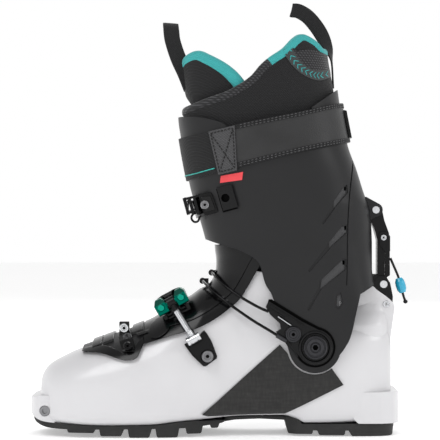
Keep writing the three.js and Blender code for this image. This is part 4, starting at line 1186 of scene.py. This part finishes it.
def pull_loops():
    up = (1, 0, -0.08)
    path = [(-19.5, -11, 283), (-24.6, -12, 296), (-30.5, -11.6, 309), (-34.6, -10.8, 322),
            (-35.8, -8, 331.6),
            (-36.2, 0, 336), (-35.8, 8, 331.6), (-34.6, 10.8, 322), (-30.5, 11.6, 309), (-24.6, 12, 296),
            (-19.5, 11, 283)]
    ribbon("tongue_pull_loop", path, [up] * len(path), 6.4, 1.5, WEBBING, ["tongue_loop"])
    out = [(97.6, -1, 283), (96.4, -1.4, 304), (93.2, -2.2, 316.3), (86.5, -3, 329.7), (77.7, -3.4, 341),
           (69.5, -2.6, 346.4)]
    back = [(x, -y, z) for x, y, z in reversed(out[2:])]
    flat, leaning, facing, rising = (0.1, 1, 0), (0.6, 0.7, 0.4), (0.73, 0.15, 0.66), (0.3, 0.1, 0.95)
    turn = [flat, flat, leaning, facing, facing, rising, rising, rising, facing, facing, leaning]
    path = [*out, (64, 0, 347.2), *back]
    ribbon("collar_pull_loop", path, turn, 5.8, 1.6, WEBBING, ["collar_loop"])


pull_loops()


# ---- Forefoot buckle ----

BUCKLE_AT = (-34.2, 107.4)
TILT = math.radians(28.7)
ROD_HINGE = (-16.4, -53.6, 79.6)
LEVER_PIN = (-41, 1)


def on_instep(u, y, w):
    """A point from the buckle's own frame: u along the instep, y across, w out of it."""
    c, s = math.cos(TILT), math.sin(TILT)
    return (BUCKLE_AT[0] + u * c - w * s, y, BUCKLE_AT[1] + u * s + w * c)


def instep_slab(name, shape, u0, u1):
    return prism(name, shape, lambda y, w, end: on_instep((u0, u1)[end], y, w))


CHEEK = [(-46.4, -3), (-46.6, 4), (-40, 8), (-28, 8.4), (-18, 7.4), (-14, 3.2), (-22, 0.8), (-34, -2.6),
         (-40, -5)]
HANDLE = [(-24, 2.6), (-12, 1.8), (0, 2.4), (12, 1.4), (24, -2.2), (36, -8), (37.4, -5.6), (25, 1.4),
          (12, 5.6), (0, 7), (-12, 8.2), (-20, 9.2), (-27, 8.6), (-28, 5)]


def along_y(name, shape, y0, y1):
    """An outline in u and w, thick across the boot."""
    return prism(name, shape, lambda u, w, end: on_instep(u, (y0, y1)[end], w))


def forefoot_lever():
    """Two anodised prongs on a cross pin, with a black tail that folds over the instep."""
    pair = []
    for u0, u1 in ((-13.6, -4.4), (4.4, 13.6)):
        prong = instep_slab("lever_prongs", CHEEK, u0, u1)
        end_on = [(u0, -6), (u0, 4.4), (u0 + 2.4, 8.4), (u1 - 2.4, 8.4), (u1, 5.4), (u1, -6)]
        share(prong, along_y("end_on", end_on, -60, 10))
        for y in (-38, -30, -22):
            score = [(y - 0.7, 7.2), (y + 0.7, 7.2), (y + 1.4, 9), (y - 1.4, 9)]
            cut(prong, instep_slab("score", score, u0 - 1, u1 + 1))
        cut(prong, along_y("mouth", [(u0 - 1, -6), (u0 - 1, -1.4), (u1 + 1, -1.4), (u1 + 1, -6)], -60, -43))
        at = on_instep((u0 + u1) / 2, -45.8, 1.2)
        boss = lathe("prong_boss_%d" % (u0 > 0), at, (0, -1, 0),
                     [(2.9, -1), (2.9, 1.6), (2.3, 2.4), (1.1, 2.4)], 28)
        dress(boss, BRIGHT_GREEN, "green_alu", "forefoot_lever", (), 28, 0.2)
        pair.append(prong)
    prongs = join(*pair, rod(on_instep(-12, *LEVER_PIN), on_instep(12, *LEVER_PIN), 2))
    dress(prongs, GREEN, "green_alu", "forefoot_lever", ["forefoot_lever"], 28, 0.5)
    handle = instep_slab("lever_handle", smooth_points(HANDLE + HANDLE[:1], 4)[:-1], -11, 11)
    plan = [(-3.4, -30), (3.4, -30), (4, -20), (10, -14), (11, 10), (8, 30), (5, 38), (-5, 38), (-8, 30),
            (-11, 10), (-10, -14), (-4, -20)]
    share(handle, prism("plan", plan, lambda u, y, end: on_instep(u, y, (-20, 20)[end])))
    cut(handle, instep_slab("well", [(-15, -3), (20, -3), (16, 4.4), (-15, 4.8)], -7.6, 7.6))
    dress(handle, HARD, "cuff_black", "forefoot_lever", (), 28, 0.9)


def forefoot_rod():
    hinge = Vector(ROD_HINGE)
    head = Vector(on_instep(0, *LEVER_PIN))
    along = Vector((math.cos(TILT), 0, math.sin(TILT)))
    barrel = rod(hinge - along * 5.6, hinge + along * 5.6, 3.6, 40, "rod_barrel")
    for off in (-3, 3):
        centre = hinge + along * off
        ring = rod(centre - along * 0.5, centre + along * 0.5, 5)
        cut(barrel, cut(ring, rod(centre - along, centre + along, 3)))
    dress(barrel, STEEL, "steel", "forefoot_rod", (), 28, 0.2)
    shank = rod(hinge, hinge.lerp(head, 0.86), 2.8, 40, "tension_rod")
    join(shank, rod(hinge.lerp(head, 0.08), hinge.lerp(head, 0.2), 3.5, 6))
    dress(shank, STEEL, "steel", "forefoot_rod", ["forefoot_rod"], 28, 0.25)
    eye = rod(on_instep(-3.4, *LEVER_PIN), on_instep(3.4, *LEVER_PIN), 4.6, 40, "rod_eye")
    join(eye, rod(hinge.lerp(head, 0.76), hinge.lerp(head, 0.9), 3.8, 40))
    cut(eye, rod(on_instep(-6, *LEVER_PIN), on_instep(6, *LEVER_PIN), 2.3))
    dress(eye, HARD, "steel", "forefoot_rod", (), 28, 0.5)


BRACKET = [(-24, 75.4), (-21.1, 77), (-19.6, 75.3), (-14.9, 77.4), (-10.6, 84.3), (-8.2, 86.3), (-6.1, 83.8),
           (-2.2, 77.4), (2.1, 65.8), (1.8, 63.9), (-6.9, 57.7), (-8.8, 57.9), (-17.5, 66.2), (-22.8, 73.4)]


def shrunk(points, share_kept):
    cx = sum(p[0] for p in points) / len(points)
    cz = sum(p[1] for p in points) / len(points)
    return [(cx + (x - cx) * share_kept, cz + (z - cz) * share_kept) for x, z in points]


def forefoot_bracket():
    """A stepped bracket that holds the rod's barrel between two ears."""
    along = Vector((math.cos(TILT), 0, math.sin(TILT)))
    hinge = Vector(ROD_HINGE)
    bay = [hinge - along * 6.2, hinge + along * 6.2]
    screw_at = (-5.5, -53.6, 65.9)
    for name, low, high, points, replaced in (
        ("bracket_base", GAP, 3.6, BRACKET, ["forefoot_bracket"]),
        ("bracket_face", 3.5, 5.2, shrunk(BRACKET, 0.84), ()),
    ):
        made = boot_skin(name, low, high, points, -FAR, -20)
        cut(made, rod(*bay, 4.3))
        if low > 1:
            cut(made, across(screw_at[0], screw_at[2], 5.4, -FAR, -20, 40))
        dress(made, HARD, "cuff_black", "shell", replaced, 28, 0.5)
    socket_screw("bracket_screw", (screw_at[0], -54.4, screw_at[2]), (0, -1, 0.12), 4.7, 2.2, WORN_STEEL,
                 "shell", ["forefoot_bracket_screw"])


def instep_rack():
    """The toothed rack under the prongs: a base with two walls and a row of rungs."""
    base = [on_instep(u, 0, w) for u, w in ((-11, -22), (11, -22), (11, 6), (-11, 6))]
    plate = boot_skin("rack_base", 3.6, 5, [(x, z) for x, _, z in base], -36, 8)
    dress(plate, HARD, "cuff_black", "shell", ["forefoot_rack"], 28, 0.3)
    for index, (u0, u1) in enumerate(((-11.5, -8.5), (8.5, 11.5))):
        ends = [on_instep(u, 0, w) for u, w in ((u0, -24), (u1, -24), (u1, 6), (u0, 6))]
        wall = boot_skin("rack_wall_%d" % index, 4.9, 9.4, [(x, z) for x, _, z in ends], -37, -17)
        share(wall, along_y("below", [(-14, -26), (14, -26), (14, -5.6), (-14, -5.6)], -60, 10))
        dress(wall, HARD, "cuff_black", "shell", (), 28, 0.4)
    for index, y in enumerate(range(-33, 6, 6)):
        rung = boot_skin("rack_rung_%d" % index, 4.9, 6.4, [(x, z) for x, _, z in base], y - 1.1, y + 1.1)
        share(rung, along_y("below", [(-8, -26), (8, -26), (8, 6), (-8, 6)], -60, 10))
        dress(rung, HARD, "cuff_black", "shell", (), 28, 0.3)


forefoot_bracket()
instep_rack()
forefoot_lever()
forefoot_rod()


# ---- Cables, bail, cord ----

def wire(name, points, radius, material, body, replaced):
    """A round wire: a curve through the same points as its solid."""
    curve = bpy.data.curves.new(name, "CURVE")
    curve.dimensions = "3D"
    curve.bevel_depth = radius * MM
    curve.bevel_resolution = 4
    curve.use_fill_caps = True
    spline = curve.splines.new("POLY")
    line = smooth_points(points, 6)
    spline.points.add(len(line) - 1)
    for point, place in zip(spline.points, line):
        point.co = (*(c * MM for c in place), 1)
    spline.use_smooth = True
    made = bpy.data.objects.new(name, curve)
    bpy.context.scene.collection.objects.link(made)
    curve.materials.append(material)
    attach(made, body)
    if replaced:
        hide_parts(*replaced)
    return made


CORD = [(144.9, 0, 143), (146.6, 0, 139), (149.2, 0, 133), (151.4, 0, 127.6), (153.6, 0, 120),
        (155.6, 0, 112), (157.6, 0, 106.6)]


def pull_cord():
    made = wire("pull_cord_line", CORD, 1, WEBBING, "lock_lever", ["pull_cord"])
    line = [Vector(p) for p in smooth_points(CORD, 6)]
    paint_node("cord_bead", BEAD_BLUE, 0.3)
    knot = loft("cord_knot", [
        [(157.3 + 1.9 * math.sin(t) * math.cos(a), 1.9 * math.sin(t) * math.sin(a), 107.2 + 1.7 * math.cos(t))
         for a in circle(16)] for t in (0.25, 0.7, 1.2, 1.6, 2.0, 2.5, 2.9)])
    dress(knot, WEBBING, "webbing", "lock_lever", (), 60)


pull_cord()

LEVER_HOOK_Y = 52


def instep_cable():
    def lower(side):
        return [(53.4, side * 50.6, 80.4), (44, side * 50, 86.2), (30, side * 48, 94.6),
                (14, side * 44.6, 105.6), (2, side * 38, 114.4), (-5, side * 27, 120.4),
                (-8.8, side * 14, 123.6)]

    def upper(side):
        return [(43, side * 50.8, 101.4), (34, side * 49.4, 105.4), (22, side * 46, 112.2),
                (11, side * 40, 119.6), (3.4, side * 31, 126), (-0.8, side * 18, 130)]

    points = [*lower(MEDIAL), (-10, 0, 124.6), *reversed(lower(LATERAL)[1:]),
              (50.6, LEVER_HOOK_Y - 1.6, 85.4), (54, LEVER_HOOK_Y - 0.8, 90),
              (50.6, LEVER_HOOK_Y - 1.6, 96.6),
              *upper(LATERAL), (-2.6, 0, 131.4), *reversed(upper(MEDIAL))]
    wire("instep_wire", points, 1.15, HARD, "shell", ["instep_cable"])
    for name, x, z in (("upper", -2.6, 131.2), ("lower", -10, 124.4)):
        clip = join(across(x, z, 2.5, -5, 5, 32, "cable_clip_" + name), block(x, x + 5, -4, 4, z - 2, z + 2))
        cut(clip, boot_body(3.4))
        dress(clip, HARD, "cuff_black", "shell", ["cable_guide_" + name], 28, 0.5)


instep_cable()


def screws():
    socket_screw("upper_catch_screw", (-73.2, -27.4, 87), (0, -1, 0), 3.9, 1.9, STEEL, "shell",
                 ["catch_screw_upper"])
    socket_screw("lower_catch_screw", (-69.2, -50, 73.8), (0, -1, 0.25), 3.4, 1.7, HARD, "shell",
                 ["catch_screw_lower"], "cuff_black")


screws()


# ---- Front buckle of the cuff ----

BUCKLE_BLOCK = [(-13.2, 195.3), (-2.5, 196.4), (3.2, 181), (-8.1, 177.9)]
SPARE_PLATE = [(1.4, 200.4), (13.4, 203), (18.8, 184.8), (7, 181.6)]


def front_buckle():
    """The catch's base, a stepped block with a screw, and a ladder that stands off the cuff's front."""
    base = [(-40, 168.8), (2, 180.2), (2, 195.4), (-40, 184)]
    dress(cuff_skin("buckle_base", GAP, 2.6, base, -36, 2), HARD, "cuff_black", "cuff",
          ["cuff_rack"], 28, 0.4)
    body = cut(side_slab(BUCKLE_BLOCK, -38, -20, "buckle_block"), upright(Cuff, GAP))
    dress(body, HARD, "cuff_black", "cuff", (), 28, 0.7)
    face = side_slab(shrunk(BUCKLE_BLOCK, 0.72), -39.2, -37.8, "buckle_face")
    dress(face, SATIN, "cuff_black", "cuff", (), 28, 0.5)
    socket_screw("rack_screw", (-7.6, -39, 186.6), (-0.1, -1, 0), 3.7, 1.8, WORN_STEEL, "cuff",
                 ["cuff_rack_screw"])
    slats = []
    for index, x in enumerate((-26, -21.8, -17.6)):
        slat = [(x, 191.6), (x + 2.2, 193), (x + 6, 179), (x + 3.6, 178.4)]
        slats.append(side_slab(slat, -24 - 3 * index, -12 - 2 * index, "buckle_ladder"))
    upper_rail = [(-26, 192), (-12, 195.2), (-12, 193.2), (-25.4, 190)]
    lower_rail = [(-22.6, 181.4), (-8, 182), (-8, 180), (-22, 179.4)]
    ladder = join(*slats, *[side_slab(rail, -26, -20) for rail in (upper_rail, lower_rail)])
    dress(ladder, HARD, "cuff_black", "cuff", (), 28, 0.4)
    wire("buckle_ring", [(-13, -22, 181), (-17.8, -19, 178.8), (-18.8, -18, 175.4), (-16.4, -19, 172.8),
                         (-13.4, -21, 173.6), (-12.2, -23, 177)], 0.9, HARD, "cuff", ())


def spare_plate():
    """The drilled plate behind the buckle, over a black sheet of painted shadow, with painted shade in its
    hole.
    """
    # A black sheet, shifted down from the plate, paints its shadow on the cuff.
    shadow = [(x - 0.2, z - 1.3) for x, z in SPARE_PLATE]
    dress(cuff_skin("plate_painted_shadow", 0.1, 1.2, shadow, -FAR, -20), PAINTED_SHADE_BLACK, "cuff_black", "cuff")
    plate = cuff_skin("drilled_plate", GAP, 3, SPARE_PLATE, -FAR, -20)
    cut(plate, across(8.7, 192, 3.3, -FAR, -20, 40))
    dress(plate, HARD, "cuff_black", "cuff", ["spare_plate"], 28, 0.5)
    # The hole is filled with black: painted shade.
    well = share(upright(Cuff, 0.6, "plate_hole_painted_shade"), across(8.7, 192, 3.5, -FAR, -20, 40))
    dress(well, PAINTED_SHADE_BLACK, "cuff_black", "cuff")


front_buckle()
spare_plate()


# ---- Pivot ----

ARM_IN, ARM_OUT = 45.8, 49.8
ARM = [(40.9, 104.9), (42.6, 108.7), (44, 109.4), (70, 93.4), (86, 85.4), (72, 62), (58, 74), (54.6, 79.4),
       (50.7, 82.3), (49.1, 85.2), (52.8, 87.4), (52.4, 91.6), (44.6, 98.7)]
ARM_SLOT = [(50.2, 96.8), (51.6, 98.6), (62, 91.2), (60.6, 89.2)]
ARM_RIDGES = [((44.6, 107), (71, 90.6)), ((43.4, 104.4), (56, 96.6)), ((58.6, 78.2), (66.6, 65))]


def line_strip(start, end, half):
    """A thin band about a straight line in side view."""
    a, b = Vector(start), Vector(end)
    off = (b - a).orthogonal().normalized() * half
    return [tuple(a + off), tuple(b + off), tuple(b - off), tuple(a - off)]


def pivot_arm(side, word):
    """The cable's anchor: a plate with a slot and ridges round the pivot, over a black sheet of painted
    shadow.
    """
    x, z = PIVOT
    stretch = span(side, ARM_IN, ARM_OUT - 0.5)
    plate = join(side_slab(ARM, *stretch, "arm_plate_" + word), across(x, z, 14.4, *stretch, 64))
    cut(plate, side_slab(ARM_SLOT, *stretch), across(x, z, 11, *span(side, 48.4, 60), 64))
    cut(plate, across(x, z, 6.5, -FAR, FAR))
    dress(plate, HARD, "cuff_black", "shell", ["anchor_" + word], 28, 0.7)
    # A black sheet grown past the plate's upper edge and round the pivot: painted shadow.
    behind = span(side, ARM_IN, ARM_IN + 1)
    upper_edge = [(42, 107), (43.4, 111), (45.6, 111), (71, 95.4), (88, 86.4), (86, 76)]
    shade_plate = join(side_slab(upper_edge, *behind, "arm_gap_" + word), across(x, z, 16.2, *behind, 64))
    cut(shade_plate, across(x, z, 6.5, -FAR, FAR))
    dress(shade_plate, PAINTED_SHADE_BLACK, "cuff_black", "shell")
    top = span(side, ARM_OUT - 0.9, ARM_OUT + 0.5)
    ridges = join(*[side_slab(line_strip(a, b, 0.6), *top) for a, b in ARM_RIDGES])
    ridges.name = "arm_ridges_" + word
    dress(ridges, HARD, "cuff_black", "shell", (), 28, 0.4)


def pivot(side, word):
    """The bolt's head: a turned disc with rings, dimples and a six-sided socket, in a raised rim."""
    x, z = PIVOT
    at, axis = (x, side * 50, z), (0, side, 0)
    head = lathe("pivot_head_" + word, at, axis,
                 [(9.6, -1.6), (9.6, 2), (9, 2.8), (8.2, 2.9), (7.8, 2.2), (7.2, 2.2), (6.8, 2.7), (4.4, 2.5),
                  (4, 1.9), (3.6, 1.9), (3.2, 2.6), (2, 2.6)], 56)
    cut(head, across(x, z, 2.4, *span(side, 50.6, 55), 6))
    for k in range(6):
        spot = math.radians(60 * k + 30)
        dimple = (x + 5.6 * math.cos(spot), z + 5.6 * math.sin(spot))
        cut(head, across(*dimple, 0.7, *span(side, 52, 54), 12))
    dress(head, PIVOT_METAL, "cuff_black", "shell", ["pivot_bolt_" + word], 28, 0.15)
    # The socket's faces are painted black as painted shade.
    paint_socket_shade(head, at, axis, 2.5, 2.5)
    rim = lathe("pivot_rim_" + word, (x, side * 49, z), axis,
                [(13.4, 0), (13.4, 1.2), (12.8, 1.8), (11.6, 1.8), (11, 1.2), (11, 0)], 56)
    cut(rim, across(x, z, 10.9, *span(side, 48.6, 53), 56))
    dress(rim, HARD, "cuff_black", "shell", (), 28)


for pivot_side in SIDES:
    pivot_arm(*pivot_side)
    pivot(*pivot_side)


def anchor_face():
    x, z = 62.8, 83.2
    at, axis = (x, -49, z), (0, -1, 0)
    disc = lathe("anchor_button", at, axis,
                 [(6.6, 0), (6.6, 2.4), (6, 3.2), (5, 3.2), (4.6, 2.6), (3.4, 2.6), (2.9, 3.3), (1, 3.3)], 44)
    cut(disc, across(x, z, 1.5, -54, -50.4, 6))
    dress(disc, PIVOT_METAL, "cuff_black", "shell", ["anchor_disc"], 28, 0.15)
    # The socket's faces are painted black as painted shade.
    paint_socket_shade(disc, at, axis, 1.6, 3.2)
    ferrule = rod((49.4, -50.6, 82.6), (57.6, -50, 78), 1.9, 28, "cable_ferrule")
    dress(ferrule, PIVOT_METAL, "steel", "shell", (), 28, 0.5)
    strand = rod((50.6, -48.8, 97.4), (61.2, -48.8, 90.2), 0.6, 12, "cable_strand")
    dress(strand, STEEL, "steel", "shell")


anchor_face()


# ---- Walk lock ----

LINK_BAR = outline(*ring_of(LINK_TOP, 5.4, 150, 20), (139.2, 174), (143, 163.6), (143, 160.6), (139.4, 158.6),
                   (139.4, 130), (140.8, 125.6), (140.8, 117), (133.4, 117), (133.4, 158),
                   [(133.4, 158), (131, 167), (127.6, 174.6)])
LEVER_PIVOT = (138.4, 160)


def lock_link():
    bar = side_slab(LINK_BAR, -LINK_HALF, LINK_HALF, "link_bar")
    for side in (MEDIAL, LATERAL):
        stretch = span(side, 5.8, 12)
        cut(bar, side_slab([(134.4, 112), (134.4, 136), (138.2, 140), (142, 136), (142, 112)], *stretch))
        cut(bar, side_slab([(130, 112), (130, 124), (142, 124), (142, 112)], *stretch))
    cut(bar, across(*LINK_TOP, 2.7, -FAR, FAR))
    dress(bar, HARD, "cuff_black", "lock_link", ["lock_link"], 28, 0.6)
    for side, word in SIDES:
        at = (LEVER_PIVOT[0], side * (LINK_HALF + 1.9), LEVER_PIVOT[1])
        socket_screw("link_screw_" + word, at, (0, side, 0), 2.5, 1, STEEL, "lock_link")


def lock_lever():
    low, high = LINK_HALF + 0.4, LINK_HALF + 1.9
    grip = side_slab([(139.8, 156.2), (143.8, 157.4), (144, 129), (141, 127), (139.8, 130)], -6, 6,
                     "lever_grip")
    join(grip, side_slab([(139.8, 156.2), (143.8, 157.4), (143.8, 149), (139.8, 147)], -high, high))
    for side in (MEDIAL, LATERAL):
        ear = [(134.6, 163), (136, 165), (141, 165), (143.8, 161), (143.8, 150), (139.6, 148), (135, 154.4)]
        join(grip, side_slab(ear, *span(side, low, high)))
    for z in range(131, 146, 3):
        cut(grip, block(143.2, 146, -5, 5, z, z + 1))
    dress(grip, HARD, "cuff_black", "lock_lever", ["lock_lever"], 28, 0.5)


def bracket_brow():
    """The bracket's front edge, raised on both cheeks ahead of the pins."""
    for side, word in SIDES:
        brow = side_slab([(128.6, 119), (128.6, 129), (129.4, 129.8),
                          (133.6, 129.8), (134.2, 124), (133.4, 119)],
                         *span(side, 9.4, 12.1), "bracket_brow_" + word)
        dress(brow, HARD, "cuff_black", "shell", (), 28, 0.5)


lock_link()
lock_lever()
bracket_brow()

CUFF_HINGE = (22, 51, 193)


def cuff_bail():
    x, y, height = CUFF_HINGE

    def run(z):
        return [(10, 49.6, z + 1), (-2, 42, z - 2), (-12, 31, z - 5), (-19.4, 17, z - 7), (-21.8, 4, z - 7.6),
                (-22.2, -3.8, z - 8)]

    upper = [(x, y + 1.6, height + 8.6), (x - 5, y + 0.6, height + 8), *run(height + 4)]
    lower = [(x, y + 1.6, height - 8.6), (x - 5, y + 0.6, height - 8), *run(height - 4)]
    wire("bail_wire", [*upper, (-22.2, -4.6, 181), *reversed(lower)], 1.2, DARK_STEEL, "cuff_bail",
         ["cuff_bail"])


cuff_bail()


# ---- Inside the shell ----

def sock():
    """The liner's foot, quilted by a slow swell, and the insole in it."""
    rim = [(-60, 190), (-60, 140), (0, 140), (60, 136), (98, 126), (98, 190)]
    inner = -SHELL_WALL - LINER_WALL
    made = cut(boot_body(-SHELL_WALL - 0.9, "liner_sock"), boot_body(inner), side_slab(rim, -FAR, FAR))
    fold(made, 0.5, 30)
    dress(made, LINER_SMOOTH, "foam", "shell", ["liner_foot"], 60)
    sole = share(boot_body(inner - 1, "insole_cloth"), block(-128, 138, -60, 60, 0, 26))
    fold(sole, 0.6, 18)
    dress(sole, TEAL, "teal", "shell", ["insole"], 60)


sock()


def ankle_sock():
    """The liner's ankle, ribbed, between the shell and the cuff."""
    columns, bottom, top, wall = 120, 112, 192, 4
    levels = [bottom + (top - bottom) * r / 70 for r in range(71)]

    def place(z, angle, grow):
        rib = 0.5 * math.sin(z * 0.8)
        low = Vector(level_point(Ankle, z, angle, grow + rib - 5.2))
        high = Vector(level_point(Collar, z, angle, grow + rib - 3.4))
        return tuple(low.lerp(high, max(0.0, min(1.0, (z - 148) / 20))))

    grid = [[place(z, a, 0) for z in levels] + [place(z, a, -wall) for z in reversed(levels)]
            for a in circle(columns)]
    made = closed_grid("ankle_sock", grid)
    dress(made, LINER_SMOOTH, "foam", None, (), 80)
    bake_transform(made)


ankle_sock()


# ---- CAD nodes that keep their shape ----

KEPT = {
    WORN_STEEL: ["toe_insert"],
    STEEL: ["heel_insert", "latch_pin_medial", "latch_pin_lateral", "link_rivet"],
    HARD: ["front_catch", "instep_lever", "latch_bracket", "strap_buckle", "cuff_lever_base", "cuff_lever"],
    TAG_RED: ["blank_tag"],
}
for kept_material, names in KEPT.items():
    for kept_name in names:
        paint_node(kept_name, kept_material, 0.5)


# ---- Floor and light ----

def floor():
    paint = Paint("pale_floor", (0.93, 0.93, 0.93), 0.8, Specular_IOR_Level=0.2, Emission_Strength=0.36)
    paint.tint(paint.noise(3), (0.95, 0.95, 0.95))
    size = 6000
    made = mesh_object("floor",
                       [(-size, -size, -0.2), (size, -size, -0.2), (size, size, -0.2), (-size, size, -0.2)],
                       [(0, 1, 2, 3)])
    made.data.materials.append(paint.material)


def lamp(name, place, size, watts):
    data = bpy.data.lights.new(name, "AREA")
    data.size = size
    data.energy = watts
    made = bpy.data.objects.new(name, data)
    bpy.context.scene.collection.objects.link(made)
    made.location = place
    aim = Vector((0, 0, 0.15)) - Vector(place)
    made.rotation_euler = aim.to_track_quat("-Z", "Y").to_euler()


def light():
    world = bpy.data.worlds.new("studio")
    bpy.context.scene.world = world
    world.use_nodes = True
    tree = world.node_tree
    place = node(tree, "TexCoord")
    height = node(tree, "SeparateXYZ")
    tree.links.new(place.outputs["Generated"], height.inputs["Vector"])
    fade = node(tree, "ValToRGB")
    for stop, position, grey in zip(fade.color_ramp.elements, (0.2, 0.8), (1.0, 0.45)):
        stop.position = position
        stop.color = (grey, grey, grey, 1)
    tree.links.new(height.outputs["Z"], fade.inputs["Fac"])
    tree.links.new(fade.outputs["Color"], tree.nodes["Background"].inputs["Color"])
    lamp("key", (-0.9, -1.2, 1.7), 1.0, 13)
    lamp("side", (1.5, -0.8, 0.9), 0.5, 4)
    lamp("back", (0.3, 1.6, 1.3), 1.0, 12)
    bpy.context.scene.view_settings.view_transform = "Standard"


floor()
light()
